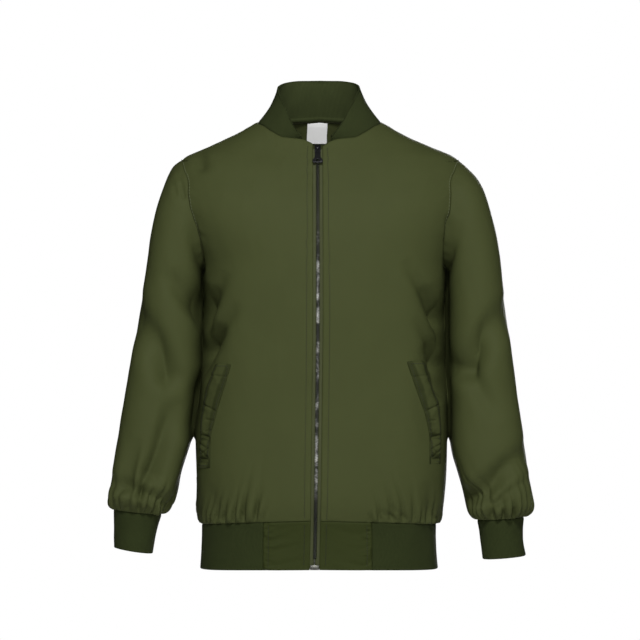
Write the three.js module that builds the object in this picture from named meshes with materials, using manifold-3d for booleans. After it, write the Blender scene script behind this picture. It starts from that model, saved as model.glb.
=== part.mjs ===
import * as THREE from 'three';
import { mergeVertices } from 'three/addons/utils/BufferGeometryUtils.js';
import Module from 'manifold-3d';

// Men's size L bomber jacket, filled out as if worn. Millimetres, +Z up, the
// front faces -Y and +X is the wearer's left. The origin is the middle of the
// neck opening, level with the two points where shoulder seam and collar meet.
// An angle round the body is 0 at the centre front, 90 degrees at the wearer's
// left side seam, 180 at the centre back and -90 at the right side seam.

const SHELL = 1.6;
const RIB = 3;
const SEAM_GAP = 0.3;
const DEGREE = Math.PI / 180;
const SIDE_SEAM = 90 * DEGREE;
const CENTRE_BACK = 180 * DEGREE;

const NYLON = { color: 0x4b4f34, roughness: 0.62, metalness: 0 };
const RIB_KNIT = { color: 0x30361d, roughness: 0.95, metalness: 0 };
const ZIP_TAPE = { color: 0x30361d, roughness: 0.9, metalness: 0 };
const GUNMETAL = { color: 0x55564c, roughness: 0.35, metalness: 0.9 };
const BLACK_METAL = { color: 0x17181a, roughness: 0.4, metalness: 0.7 };
const NICKEL = { color: 0xc4c5bd, roughness: 0.25, metalness: 1 };
const LABEL_SATIN = { color: 0xeeeeea, roughness: 0.6, metalness: 0 };

function table(columns, ...rows) {
  return rows.map((row) => Object.fromEntries(columns.map((name, i) => [name, row[i]])));
}

// Level sections of the body: half width, and depth in front of and behind the
// ridge of the shoulders. A squareness of 2 is an ellipse, more is boxier.
const BODY_SECTIONS = table(
  ['z', 'centre', 'width', 'front', 'back', 'squareness'],
  [14, 0, 72, 38, 67, 2.1],
  [0, 0, 97, 46, 75, 2.1],
  [-20, -1, 133, 56, 88, 2.1],
  [-40, 0, 177, 66, 99, 2.2],
  [-60, 1, 219, 79, 108, 2.3],
  [-85, 0, 236, 92, 117, 2.6],
  [-110, 0, 236, 105, 124, 2.8],
  [-132, 1, 231, 115, 128, 3],
  [-161, 3, 219, 122, 131, 3],
  [-192, 5, 205, 127, 132, 2.9],
  [-234, 8, 193, 131, 130, 2.7],
  [-300, 7, 191, 133, 124, 2.6],
  [-380, 6, 191, 131, 118, 2.6],
  [-445, 6, 195, 130, 116, 2.6],
  [-510, 3, 200, 130, 118, 2.6],
  [-560, 3, 199, 131, 120, 2.6],
  [-600, 2, 197, 130, 121, 2.6],
  [-625, 0, 194, 124, 117, 2.6],
  [-645, -1, 187, 117, 111, 2.6],
  [-680, -1, 188, 116, 110, 2.6],
  [-714, -1, 190, 117, 111, 2.6],
);

// Height of the neck seam, and of the two seams of the hem band, by angle.
const NECK_SEAM = table(
  ['angle', 'z'],
  [0, -45], [12, -36], [24, -30.5], [45, -27], [58, -18], [72, -7], [90, 0], [130, 6], [180, 11],
);
const HEM_SEAM = table(['angle', 'z'], [0, -631], [40, -634], [90, -642], [180, -642]);
const HEM_EDGE = table(['angle', 'z'], [0, -708], [40, -709], [90, -713], [180, -713]);

const ZIP_LINE = table(['z', 'x'], [0, -3], [-285, -2.4], [-520, -4.7], [-640, -6.4], [-714, -8]);
const ZIP_OPENING = 15;
const TAB_EDGE = { right: -88.5, left: 82.5 };

const ARMHOLE = { top: -61, bottom: -234, front: 76, back: 82 };
const SHOULDER_ROWS = 5;
const ARMHOLE_ROWS = 12;
const SIDE_ROWS = [355, 300, 240, 185, 135, 90, 55, 30, 16, 7, 0];
const GATHER_ROWS = 3;
const GATHER_STEPS = 4;

// How many columns and rows of quads each piece's wall has.
const FRONT_COLUMNS = 13;
const BACK_COLUMNS = 24;
const SLEEVE_COLUMNS = 24;
const CUFF_MESH = { columns: 24, rows: 4 };
const COLLAR_MESH = { columns: 36, rows: 5 };
const HEM_MESH = { rib: 48, tab: 8, rows: 3 };
const WELT_MESH = { columns: 4, rows: 12 };

// Half a step of an angle or a share, for the slope of a surface.
const NEAR = { angle: 0.002, height: 0.5, turn: 0.02, share: 0.004, rise: 0.01 };

// Soft troughs seen from the front or the back, from one end to the other.
const BODY_FOLDS = table(
  ['face', 'x1', 'z1', 'x2', 'z2', 'width', 'depth'],
  [-1, -148, -262, -186, -312, 17, 7],
  [-1, -132, -306, -176, -352, 17, 6],
  [-1, 142, -250, 198, -312, 18, 9],
  [-1, 152, -330, 192, -372, 16, 6],
  [-1, 168, -566, 180, -630, 12, 5],
  [-1, -172, -572, -158, -634, 12, 4],
  [-1, -60, -70, -92, -50, 22, 3],
  [1, -120, -238, -184, -300, 20, 8],
  [1, -100, -330, -178, -366, 20, 6],
  [1, 118, -226, 192, -292, 20, 8],
  [1, 104, -320, 188, -372, 20, 6],
  [1, -60, -500, -120, -560, 24, 5],
  [1, 80, -470, 130, -545, 24, 5],
);

const FRONT_GATHERS = 9;
const BACK_GATHERS = 24;
const CUFF_GATHERS = 18;
const GATHER_DEPTH = 1.7;
const GATHER_CREST = 9;

// Rings of a sleeve from below the armhole to the cuff: the points of its
// outline on the outer and the inner side, half its depth and its middle.
const RING_COLUMNS = ['outerX', 'outerZ', 'innerX', 'innerZ', 'depth', 'y'];
const SLEEVE_RINGS = {
  right: table(
    RING_COLUMNS,
    [-236, -76, -188, -241, 79, 0],
    [-248, -103, -190, -256, 81, 0],
    [-258, -135, -190, -274, 82, 0],
    [-267, -174, -190, -296, 82, -1],
    [-273, -214, -190, -322, 81, -2],
    [-279, -255, -190, -347, 80, -4],
    [-286, -299, -190, -374, 78, -7],
    [-293, -343, -190, -402, 76, -10],
    [-300, -385, -192, -430, 74, -14],
    [-308, -428, -195, -460, 72, -18],
    [-315, -470, -200, -492, 70, -23],
    [-321, -512, -210, -526, 68, -28],
    [-326, -548, -220, -558, 65, -33],
    [-331, -587, -232, -597, 61, -38],
    [-331, -601, -239, -608, 56, -40],
    [-329.5, -610, -244.5, -617.5, 47, -41],
    [-326.5, -616.5, -250.5, -625, 40, -42],
  ),
  left: table(
    RING_COLUMNS,
    [238, -75, 207, -241, 79, 0],
    [255, -97, 208, -256, 81, 0],
    [267, -131, 208, -274, 82, 0],
    [278, -172, 208, -296, 82, -1],
    [286, -213, 208, -322, 81, -2],
    [291, -256, 208, -347, 80, -4],
    [296, -300, 208, -374, 78, -7],
    [302, -344, 208, -402, 76, -10],
    [308, -388, 208, -431, 74, -14],
    [313, -431, 208, -463, 72, -18],
    [319, -472, 208, -496, 70, -23],
    [325, -514, 212, -530, 68, -28],
    [330, -552, 222, -562, 65, -33],
    [334, -599, 236, -606, 61, -38],
    [333.5, -614, 240, -618, 56, -40],
    [329, -623, 245, -627, 47, -41],
    [324, -629, 250, -634, 40, -42],
  ),
};
const CUFF_RINGS = {
  right: table(
    RING_COLUMNS,
    [-326.5, -616.5, -250.5, -625, 38, -42],
    [-326, -646, -259, -655, 34, -43],
    [-325.5, -677.5, -264.5, -687, 32, -45],
  ),
  left: table(
    RING_COLUMNS,
    [324, -629, 250, -634, 38, -42],
    [322.5, -660, 255, -665, 34, -43],
    [327, -690, 258.5, -696, 32, -45],
  ),
};
const SLEEVE_FOLDS = {
  right: table(
    ['face', 'x1', 'z1', 'x2', 'z2', 'width', 'depth'],
    [-1, -198, -290, -262, -378, 20, 6],
    [-1, -214, -160, -240, -250, 18, 4],
    [-1, -232, -500, -262, -556, 15, 6],
    [-1, -284, -520, -306, -580, 13, 5],
    [1, -204, -280, -262, -350, 20, 6],
    [1, -220, -480, -280, -550, 18, 6],
  ),
  left: table(
    ['face', 'x1', 'z1', 'x2', 'z2', 'width', 'depth'],
    [-1, 290, -286, 248, -364, 18, 6],
    [-1, 216, -330, 262, -420, 20, 4],
    [-1, 318, -534, 254, -596, 16, 5],
    [1, 220, -280, 278, -350, 20, 6],
    [1, 230, -480, 296, -550, 18, 6],
  ),
};

// Free edge of the rib collar on one side, from its front end to the back.
const COLLAR_RIM = table(
  ['angle', 'across', 'forward', 'z'],
  [24, 26, 64, -25],
  [45, 40, 51, -3],
  [65, 52, 35, 22],
  [85, 62, 14, 44],
  [105, 66, -6, 56],
  [130, 58, -27, 64],
  [155, 33, -44, 69],
  [180, 0, -51, 70],
);
const COLLAR_FRONT_END = 24;
const COLLAR_SKEW = -5.5;
const COLLAR_HOLLOW = 7;
const COLLAR_GAP = 0.5;

// Edges of the slanted pocket welts as seen from the front, towards the zip
// and towards the side seam.
const WELT_OUTLINE = {
  right: table(
    ['z', 'inner', 'outer'],
    [-385, -135, -160], [-406, -140.5, -167], [-433, -149, -176], [-469, -159, -181.5],
    [-506, -167.5, -184.5], [-550, -168.5, -186],
  ),
  left: table(
    ['z', 'inner', 'outer'],
    [-381, 134, 164], [-408, 142.5, 173.5], [-436, 152, 181], [-474, 164.5, 186],
    [-506, 169.5, 187.5], [-544, 169.7, 187],
  ),
};
const WELT_THICKNESS = 2;
const WELT_STANDOFF = 0.7;

const TAPE = { thickness: 1, inner: 3.3, outer: 15, top: -46, bottom: -706, behind: 0.4 };
const CHAIN = { width: 6, thickness: 2.2, recess: 0.8, top: -52, bottom: -690 };
const SLIDER = {
  z: -47, width: 9.6, length: 14, front: 1.6, rear: 1.4, slotNear: 0.5, slotFar: 3.35,
  postLength: 3, postWidth: 2.6, proud: 1,
};
const BAIL = { width: 2.2, span: 9.6, height: 4.6, wall: 1.2 };
const PULL = { axisProud: 2.9, thickness: 1.4, barRadius: 0.8, windowWidth: 3.4, windowEnd: -7 };
const PULL_OUTLINE = table(
  ['z', 'halfWidth'],
  [0.8, 2.8], [-6.5, 3.4], [-11, 4.4], [-18, 4.7], [-21.5, 6.4], [-24.5, 8.4], [-27.5, 8.2],
  [-29, 6.2],
);
const PULL_HOLE = { z: -24.4, radius: 2.2, sides: 16 };
const ZIP_BOX = { width: 14, height: 7.5, thickness: 3, proud: 0.2, z: -704.2 };
const ZIP_PIN = { radius: 1.1, top: -691.5, bottom: -700 };

const LINING_DEPTH = SHELL + 2 * SEAM_GAP;
const NECK_TAPE = { top: 1, height: 5, thickness: 1, columns: 16, ends: 0.05 };
const NECK_LABEL = { centre: -3.5, size: 33, thickness: 1, columns: 4, rows: 5 };

const lerp = THREE.MathUtils.lerp;
const count = (n) => Array.from({ length: n + 1 }, (_, i) => i / n);

// A curve through the rows of a table that never swings past them.
function curve(rows, input, output) {
  const sorted = [...rows].sort((a, b) => a[input] - b[input]);
  const x = sorted.map((row) => row[input]);
  const y = sorted.map((row) => row[output]);
  const secant = x.slice(1).map((value, i) => (y[i + 1] - y[i]) / (value - x[i]));
  const slope = x.map((_, i) => {
    if (i === 0 || i === x.length - 1) return secant[Math.min(i, secant.length - 1)];
    const [before, after] = [secant[i - 1], secant[i]];
    return before * after <= 0 ? 0 : (2 * before * after) / (before + after);
  });
  return (at) => {
    const place = THREE.MathUtils.clamp(at, x[0], x[x.length - 1]);
    let i = 0;
    while (i < x.length - 2 && place > x[i + 1]) i += 1;
    const step = x[i + 1] - x[i];
    const t = (place - x[i]) / step;
    const rise = t * t * (3 - 2 * t);
    const bend = (t ** 3 - 2 * t * t + t) * slope[i] + (t ** 3 - t * t) * slope[i + 1];
    return y[i] + (y[i + 1] - y[i]) * rise + bend * step;
  };
}

function curves(rows, input) {
  const outputs = Object.keys(rows[0]).filter((name) => name !== input);
  return Object.fromEntries(outputs.map((name) => [name, curve(rows, input, name)]));
}

const body = curves(BODY_SECTIONS, 'z');
const zipX = curve(ZIP_LINE, 'z', 'x');
const byAngle = (rows) => {
  const height = curve(rows, 'angle', 'z');
  return (angle) => {
    const turned = Math.abs(angle) / DEGREE;
    return height(turned > 180 ? 360 - turned : turned);
  };
};
const neckSeam = byAngle(NECK_SEAM);
const hemSeam = byAngle(HEM_SEAM);
const hemEdge = byAngle(HEM_EDGE);

// A section is |x / width|^squareness + |y / depth|^squareness = 1.
function bodyPoint({ angle, z }) {
  const depth = Math.cos(angle) > 0 ? body.front(z) : body.back(z);
  const power = body.squareness(z);
  const across = Math.abs(Math.sin(angle) / body.width(z)) ** power;
  const along = Math.abs(Math.cos(angle) / depth) ** power;
  const radius = (across + along) ** (-1 / power);
  return new THREE.Vector3(
    body.centre(z) + radius * Math.sin(angle),
    -radius * Math.cos(angle),
    z,
  );
}

function frontAngle(x, z) {
  const power = body.squareness(z);
  const across = Math.min(0.999, Math.abs(x - body.centre(z)) / body.width(z));
  const forward = body.front(z) * (1 - across ** power) ** (1 / power);
  return Math.atan2(x - body.centre(z), forward);
}

function bodyNormal({ angle, z }) {
  const around = bodyPoint({ angle: angle + NEAR.angle, z })
    .sub(bodyPoint({ angle: angle - NEAR.angle, z }));
  const up = bodyPoint({ angle, z: z + NEAR.height }).sub(bodyPoint({ angle, z: z - NEAR.height }));
  return around.cross(up).normalize();
}

// How far the cloth stands out of its smooth form at a point, by its folds.
function foldRelief(folds, point, normal) {
  return folds.reduce((sum, fold) => {
    const facing = THREE.MathUtils.clamp(normal.y * fold.face * 1.6, 0, 1);
    const along = new THREE.Vector2(fold.x2 - fold.x1, fold.z2 - fold.z1);
    const offset = new THREE.Vector2(point.x - fold.x1, point.z - fold.z1);
    const t = THREE.MathUtils.clamp(offset.dot(along) / along.lengthSq(), 0, 1);
    const away = (offset.sub(along.multiplyScalar(t)).length() / fold.width) ** 2;
    return sum - facing * fold.depth * (1 - 0.55 * away) * Math.exp(-away);
  }, 0);
}

// A gather rises from the seam to its crest and fades out above it.
function gatherRelief(waves, above) {
  const height = (above / GATHER_CREST) * Math.exp(1 - above / GATHER_CREST);
  const uneven = 0.75 + 0.25 * Math.sin(2.7 * waves);
  return GATHER_DEPTH * height * uneven * Math.cos(2 * Math.PI * waves);
}

function bodyGathers(angle, z) {
  const tabAngle = frontAngle(angle > 0 ? TAB_EDGE.left : TAB_EDGE.right, hemSeam(0));
  const above = Math.max(0, z - hemSeam(angle));
  const turned = Math.abs(angle);
  if (turned > SIDE_SEAM) {
    return gatherRelief((BACK_GATHERS * (turned - SIDE_SEAM)) / (2 * SIDE_SEAM), above);
  }
  const share = (turned - Math.abs(tabAngle)) / (SIDE_SEAM - Math.abs(tabAngle));
  return share <= 0 ? 0 : gatherRelief(FRONT_GATHERS * share, above);
}

// The cloth of a body panel: its outer face, moved out by a standoff.
function bodyCloth(place, standoff = 0) {
  const normal = bodyNormal(place);
  const point = bodyPoint(place);
  const relief = foldRelief(BODY_FOLDS, point, normal) + bodyGathers(place.angle, place.z);
  return { point: point.addScaledVector(normal, relief + standoff), normal };
}

function wallPoint({ point, normal }, thickness) {
  return { outer: point, inner: point.clone().addScaledVector(normal, -thickness) };
}

// A closed wall through rows of paired points. Rows may differ in length: each
// strip between two rows is filled by stepping along the row that lags, by the
// share of its run where each of its points lies.
function wall(rows, { rings = false, shares = (row) => count(row.length - 1) } = {}) {
  const vertices = [];
  const triangles = [];
  const layers = rows.map((row) => {
    const add = (face) => row.map((pair) => vertices.push(pair[face]) - 1);
    const layer = { outer: add('outer'), inner: add('inner') };
    if (rings) {
      layer.outer.push(layer.outer[0]);
      layer.inner.push(layer.inner[0]);
    }
    layer.shares = shares(layer.outer);
    return layer;
  });
  const quad = (a, b, c, d) => triangles.push(a, b, c, a, c, d);
  const strip = (above, below, face, flip) => {
    const [upper, lower] = [above[face], below[face]];
    let [i, j] = [0, 0];
    while (i < upper.length - 1 || j < lower.length - 1) {
      const stepUpper = j === lower.length - 1
        || (i < upper.length - 1 && above.shares[i + 1] <= below.shares[j + 1]);
      const third = stepUpper ? upper[i + 1] : lower[j + 1];
      triangles.push(...(flip ? [upper[i], third, lower[j]] : [upper[i], lower[j], third]));
      if (stepUpper) i += 1;
      else j += 1;
    }
  };
  const rim = (layer, flip) => {
    for (let i = 0; i < layer.outer.length - 1; i += 1) {
      const ends = [layer.outer[i], layer.outer[i + 1], layer.inner[i + 1], layer.inner[i]];
      quad(...(flip ? ends.reverse() : ends));
    }
  };
  for (let i = 0; i < layers.length - 1; i += 1) {
    const [upper, lower] = [layers[i], layers[i + 1]];
    strip(upper, lower, 'outer', false);
    strip(upper, lower, 'inner', true);
    if (!rings) {
      quad(upper.outer[0], upper.inner[0], lower.inner[0], lower.outer[0]);
      const end = (list) => list[list.length - 1];
      quad(end(upper.inner), end(upper.outer), end(lower.outer), end(lower.inner));
    }
  }
  rim(layers[0], false);
  rim(layers[layers.length - 1], true);
  return closedGeometry(vertices, triangles);
}

// Turns the whole surface over where its faces point inwards.
function closedGeometry(vertices, triangles) {
  let volume = 0;
  for (let i = 0; i < triangles.length; i += 3) {
    const [a, b, c] = triangles.slice(i, i + 3).map((index) => vertices[index]);
    volume += a.dot(b.clone().cross(c));
  }
  if (volume < 0) triangles.reverse();
  const geometry = new THREE.BufferGeometry().setFromPoints(vertices);
  geometry.setIndex(triangles);
  geometry.computeVertexNormals();
  return geometry;
}

// A point of the armhole seam on the body: turn 0 at the shoulder, 90 degrees
// in front, 180 at the armpit.
function armholePlace(side, turn) {
  const z = lerp(ARMHOLE.top, ARMHOLE.bottom, (1 - Math.cos(turn)) / 2);
  const forward = Math.sin(turn) * (Math.sin(turn) > 0 ? ARMHOLE.front : ARMHOLE.back);
  const depth = forward > 0 ? body.front(z) : body.back(z);
  const power = body.squareness(z);
  const across = body.width(z) * (1 - Math.abs(forward / depth) ** power) ** (1 / power);
  const angle = Math.atan2(across, forward);
  return { angle: side * angle, z };
}

// The outer edge of a front or back panel: shoulder, armhole, side seam. It
// keeps half a seam gap from the line where front and back meet.
function panelEdge(side, face) {
  const shoulder = count(SHOULDER_ROWS).map((t) => ({ angle: side * SIDE_SEAM, z: t * ARMHOLE.top }));
  const armhole = count(ARMHOLE_ROWS).slice(1, -1)
    .map((t) => armholePlace(side, -face * t * Math.PI));
  const seam = hemSeam(SIDE_SEAM);
  const sideSeam = [ARMHOLE.bottom, ...SIDE_ROWS.map((above) => seam + above)]
    .map((z) => ({ angle: side * SIDE_SEAM, z }));
  return [...shoulder, ...armhole, ...sideSeam].map(({ angle, z }) => {
    const half = SEAM_GAP / 2 / body.width(z);
    const turned = face < 0
      ? Math.min(Math.abs(angle), SIDE_SEAM - half)
      : Math.max(Math.abs(angle), SIDE_SEAM + half);
    return { angle: side * turned, z };
  });
}

// The front edge beside the zip, with a row for each row of the outer edge.
function zipEdge(side) {
  const upper = SHOULDER_ROWS + ARMHOLE_ROWS;
  const seam = hemSeam(0);
  const edgeAngle = (z) => frontAngle(zipX(z) + (side * ZIP_OPENING) / 2, z);
  const corner = edgeAngle(neckSeam(0));
  const top = neckSeam(corner);
  const first = seam + SIDE_ROWS[0];
  const heights = [
    ...count(upper + 1).slice(1, -1).map((t) => lerp(top, first, t)),
    ...SIDE_ROWS.map((above) => seam + above),
  ];
  return [{ angle: corner, z: top }, ...heights.map((z) => ({ angle: edgeAngle(z), z }))];
}

// Rows of a panel between two edges, its first row on the neck seam and its
// last on the hem seam.
function panelRows(start, end, columns) {
  const last = start.length - 1;
  return start.map((from, row) => {
    const to = end[row];
    const v = row / last;
    const spread = columns(row > last - GATHER_ROWS);
    return spread.map((u) => {
      const top = lerp(start[0].angle, end[0].angle, u);
      const bottom = lerp(start[last].angle, end[last].angle, u);
      const neck = neckSeam(top) - lerp(neckSeam(start[0].angle), neckSeam(end[0].angle), u);
      const hem = hemSeam(bottom)
        - lerp(hemSeam(start[last].angle), hemSeam(end[last].angle), u);
      return {
        angle: lerp(from.angle, to.angle, u),
        z: lerp(from.z, to.z, u) + (1 - v) ** 2 * neck + v ** 2 * hem,
      };
    });
  });
}

function panelWall(start, end, columns) {
  const rows = panelRows(start, end, columns)
    .map((row) => row.map((place) => wallPoint(bodyCloth(place), SHELL)));
  const shares = (row) => columns(row.length === columns(true).length);
  return wall(rows, { shares });
}

function frontPanel(side) {
  const tabAngle = Math.abs(frontAngle(side > 0 ? TAB_EDGE.left : TAB_EDGE.right, hemSeam(0)));
  const plain = tabAngle / SIDE_SEAM;
  const columns = (gathered) => {
    if (!gathered) return count(FRONT_COLUMNS);
    const waves = count(FRONT_GATHERS * GATHER_STEPS).map((t) => lerp(plain, 1, t));
    return [...count(GATHER_STEPS).slice(0, -1).map((t) => t * plain), ...waves];
  };
  return panelWall(zipEdge(side), panelEdge(side, -1), columns);
}

function backPanel() {
  const turnRound = ({ angle, z }) => ({ angle: angle + 2 * Math.PI, z });
  const columns = (gathered) => count(gathered ? BACK_GATHERS * GATHER_STEPS : BACK_COLUMNS);
  return panelWall(panelEdge(1, 1), panelEdge(-1, 1).map(turnRound), columns);
}

// A piece that is sewn to a panel's edge starts one seam gap beyond it. Where
// the two bend away from each other its wall keeps the panel's direction.
function seamStart(edge, tangent, towards, ownNormal, thickness, gap = SEAM_GAP) {
  const beyond = tangent.clone().cross(edge.normal).normalize();
  if (beyond.dot(towards) < 0) beyond.negate();
  const outer = edge.point.clone().addScaledVector(beyond, gap);
  const direction = ownNormal.dot(beyond) > 0 ? edge.normal : ownNormal;
  return { outer, inner: outer.clone().addScaledVector(direction, -thickness) };
}

function ringPoint(ring, turn) {
  const outer = new THREE.Vector3(ring.outerX, ring.y, ring.outerZ);
  const inner = new THREE.Vector3(ring.innerX, ring.y, ring.innerZ);
  const middle = outer.clone().add(inner).multiplyScalar(0.5);
  return middle.addScaledVector(outer.sub(inner), Math.cos(turn) / 2)
    .add(new THREE.Vector3(0, -ring.depth * Math.sin(turn), 0));
}

function armholeEdge(side, turn) {
  return bodyCloth(armholePlace(side, turn));
}

// The smooth form of a sleeve: turn runs round it as on the armhole, along
// counts its rings from the armhole, which is 0.
function sleevePoint(side, rings, turn, along) {
  const at = (i) => {
    const index = THREE.MathUtils.clamp(i, 0, rings.length);
    return index === 0 ? armholeEdge(side, turn).point : ringPoint(rings[index - 1], turn);
  };
  const i = Math.min(Math.floor(along), rings.length - 1);
  const t = along - i;
  const [before, start, end, after] = [at(i - 1), at(i), at(i + 1), at(i + 2)];
  const blend = (a, b, c, d) => 0.5 * (2 * b + (c - a) * t + (2 * a - 5 * b + 4 * c - d) * t * t
    + (3 * b - a - 3 * c + d) * t ** 3);
  return new THREE.Vector3(
    blend(before.x, start.x, end.x, after.x),
    blend(before.y, start.y, end.y, after.y),
    blend(before.z, start.z, end.z, after.z),
  );
}

function sleeveNormal(side, rings, turn, along) {
  const point = (t, a) => sleevePoint(side, rings, t, THREE.MathUtils.clamp(a, 0, rings.length));
  const around = point(turn + NEAR.turn, along).sub(point(turn - NEAR.turn, along));
  const down = point(turn, along + NEAR.turn).sub(point(turn, along - NEAR.turn));
  return around.cross(down).multiplyScalar(side).normalize();
}

function sleeveGathers(rings, turn, point) {
  const seam = ringPoint(rings[rings.length - 1], turn);
  const above = Math.max(0, point.z - seam.z);
  return gatherRelief((CUFF_GATHERS * turn) / (2 * Math.PI), above);
}

function sleeve(side, name) {
  const rings = SLEEVE_RINGS[name];
  const rows = [...rings.keys(), rings.length].map((along) => {
    const gathered = along > rings.length - GATHER_ROWS;
    const turns = count(gathered ? CUFF_GATHERS * GATHER_STEPS : SLEEVE_COLUMNS).slice(0, -1);
    return turns.map((share) => {
      const turn = share * 2 * Math.PI;
      const normal = sleeveNormal(side, rings, turn, along);
      if (along === 0) {
        const edge = armholeEdge(side, turn);
        const tangent = armholeEdge(side, turn + NEAR.turn).point
          .sub(armholeEdge(side, turn - NEAR.turn).point);
        const middle = armholeEdge(side, 0).point.add(armholeEdge(side, Math.PI).point)
          .multiplyScalar(0.5);
        const towards = middle.sub(edge.point);
        return seamStart(edge, tangent, towards, normal, SHELL);
      }
      const point = sleevePoint(side, rings, turn, along);
      const relief = foldRelief(SLEEVE_FOLDS[name], point, normal)
        + sleeveGathers(rings, turn, point);
      point.addScaledVector(normal, relief);
      return wallPoint({ point, normal }, SHELL);
    });
  });
  return wall(rows, { rings: true });
}

function cuff(side, name) {
  const numbered = CUFF_RINGS[name].map((row, number) => ({ ...row, number }));
  const last = numbered.length - 1;
  const ring = curves(numbered, 'number');
  const at = (along, turn) => ringPoint(
    Object.fromEntries(RING_COLUMNS.map((key) => [key, ring[key](along)])), turn);
  const rows = count(CUFF_MESH.rows).map((t) => (
    count(CUFF_MESH.columns).slice(0, -1).map((share) => {
      const turn = share * 2 * Math.PI;
      const around = at(t * last, turn + NEAR.turn).sub(at(t * last, turn - NEAR.turn));
      const down = at(last, turn).sub(at(0, turn)).normalize();
      const normal = around.cross(down).multiplyScalar(side).normalize();
      const point = at(t * last, turn);
      if (t === 0) point.addScaledVector(down, SEAM_GAP);
      return wallPoint({ point, normal }, RIB);
    })));
  return wall(rows, { rings: true });
}

// The collar runs from its right front end (share 0) round the back (share
// 0.5) to its left front end (share 1); rise is 0 at the neck seam, 1 at the rim.
const collarRim = curves(COLLAR_RIM, 'angle');

function collarPlace(share) {
  const side = share < 0.5 ? -1 : 1;
  const back = 1 - Math.abs(2 * share - 1);
  const end = frontAngle(side * COLLAR_FRONT_END + COLLAR_SKEW, NECK_SEAM[2].z);
  const angle = lerp(Math.abs(end), CENTRE_BACK, back);
  return { side, back, angle: side < 0 ? 2 * Math.PI - angle : angle };
}

function collarEdge(share) {
  const { angle } = collarPlace(share);
  const place = { angle, z: neckSeam(angle) };
  return { point: bodyPoint(place), normal: bodyNormal(place) };
}

function collarPoint(share, rise) {
  const { side, back } = collarPlace(share);
  const base = collarEdge(share).point;
  const angle = lerp(COLLAR_FRONT_END, 180, back);
  const rim = new THREE.Vector3(
    side * collarRim.across(angle) + COLLAR_SKEW * (1 - back) ** 2,
    -collarRim.forward(angle),
    collarRim.z(angle),
  );
  const hollow = COLLAR_HOLLOW * Math.min(1, 2 * back) * rise * (1 - rise);
  const point = base.lerp(rim, rise);
  const inward = new THREE.Vector3(-point.x, -point.y, 0).normalize();
  return point.addScaledVector(inward, hollow);
}

function collar() {
  const rows = count(COLLAR_MESH.rows).map((rise) => count(COLLAR_MESH.columns).map((share) => {
    const near = (s, r) => collarPoint(THREE.MathUtils.clamp(s, 0, 1), r);
    const around = near(share + NEAR.share, rise).sub(near(share - NEAR.share, rise));
    const up = near(share, Math.min(1, rise + NEAR.rise))
      .sub(near(share, Math.max(0, rise - NEAR.rise)));
    const normal = around.cross(up).normalize().negate();
    if (rise > 0) return wallPoint({ point: collarPoint(share, rise), normal }, RIB);
    const tangent = near(share + NEAR.share, 0).sub(near(share - NEAR.share, 0));
    const edge = collarEdge(share);
    const towards = new THREE.Vector3(-edge.point.x, -edge.point.y, 40);
    return seamStart(edge, tangent, towards, normal, RIB, COLLAR_GAP);
  }));
  return wall(rows);
}

function hemPiece(from, to, steps) {
  const rows = count(HEM_MESH.rows).map((t) => count(steps).map((u) => {
    const guess = lerp(hemSeam(0), hemEdge(0), t);
    const angle = lerp(from(guess), to(guess), u);
    const z = lerp(hemSeam(angle) - SEAM_GAP, hemEdge(angle), t);
    const point = bodyPoint({ angle, z });
    const normal = bodyNormal({ angle, z }).setZ(0).normalize();
    return wallPoint({ point, normal }, RIB);
  }));
  return wall(rows);
}

function hemTab(side) {
  const edge = side > 0 ? TAB_EDGE.left : TAB_EDGE.right;
  const zipSide = (z) => frontAngle(zipX(z) + (side * ZIP_OPENING) / 2, z);
  const ribSide = (z) => frontAngle(edge - side * SEAM_GAP / 2, z);
  return hemPiece(zipSide, ribSide, HEM_MESH.tab);
}

function hemRib() {
  const left = (z) => frontAngle(TAB_EDGE.left + SEAM_GAP / 2, z);
  const right = (z) => frontAngle(TAB_EDGE.right - SEAM_GAP / 2, z) + 2 * Math.PI;
  return hemPiece(left, right, HEM_MESH.rib);
}

function pocketWelt(name) {
  const outline = curves(WELT_OUTLINE[name], 'z');
  const [first, last] = [WELT_OUTLINE[name][0].z, WELT_OUTLINE[name].at(-1).z];
  const rows = count(WELT_MESH.rows).map((t) => count(WELT_MESH.columns).map((u) => {
    const z = lerp(first, last, t);
    const angle = frontAngle(lerp(outline.inner(z), outline.outer(z), u), z);
    return wallPoint(bodyCloth({ angle, z }, WELT_STANDOFF + WELT_THICKNESS), WELT_THICKNESS);
  }));
  return wall(rows);
}

// A strip behind the front edges, between two distances from the zip line,
// its near face that deep under the cloth's outer face.
function zipStrip(inner, outer, top, bottom, depth, thickness) {
  const between = zipEdge(1).map((place) => place.z).filter((z) => z < top - 1 && z > bottom + 1);
  const hem = count(HEM_MESH.rows).slice(1, -1).map((t) => lerp(hemSeam(0) - SEAM_GAP, hemEdge(0), t));
  const heights = [top, ...between, ...hem.filter((z) => z > bottom + 1), bottom];
  const rows = heights.map((z) => count(2).map((u) => {
    const angle = frontAngle(zipX(z) + lerp(inner, outer, u), z);
    return wallPoint(bodyCloth({ angle, z }, -depth(z)), thickness);
  }));
  return wall(rows);
}

function zipTape(side) {
  const behind = (z) => {
    const [above, below] = [hemSeam(0) + 40, hemSeam(0) + 5];
    const share = THREE.MathUtils.smoothstep(-z, -above, -below);
    return lerp(SHELL, RIB, share) + TAPE.behind;
  };
  const { inner, outer, top, bottom, thickness } = TAPE;
  return zipStrip(side * inner, side * outer, top, bottom, behind, thickness);
}

function zipChain() {
  const half = CHAIN.width / 2;
  return zipStrip(-half, half, CHAIN.top, CHAIN.bottom, () => CHAIN.recess, CHAIN.thickness);
}

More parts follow.
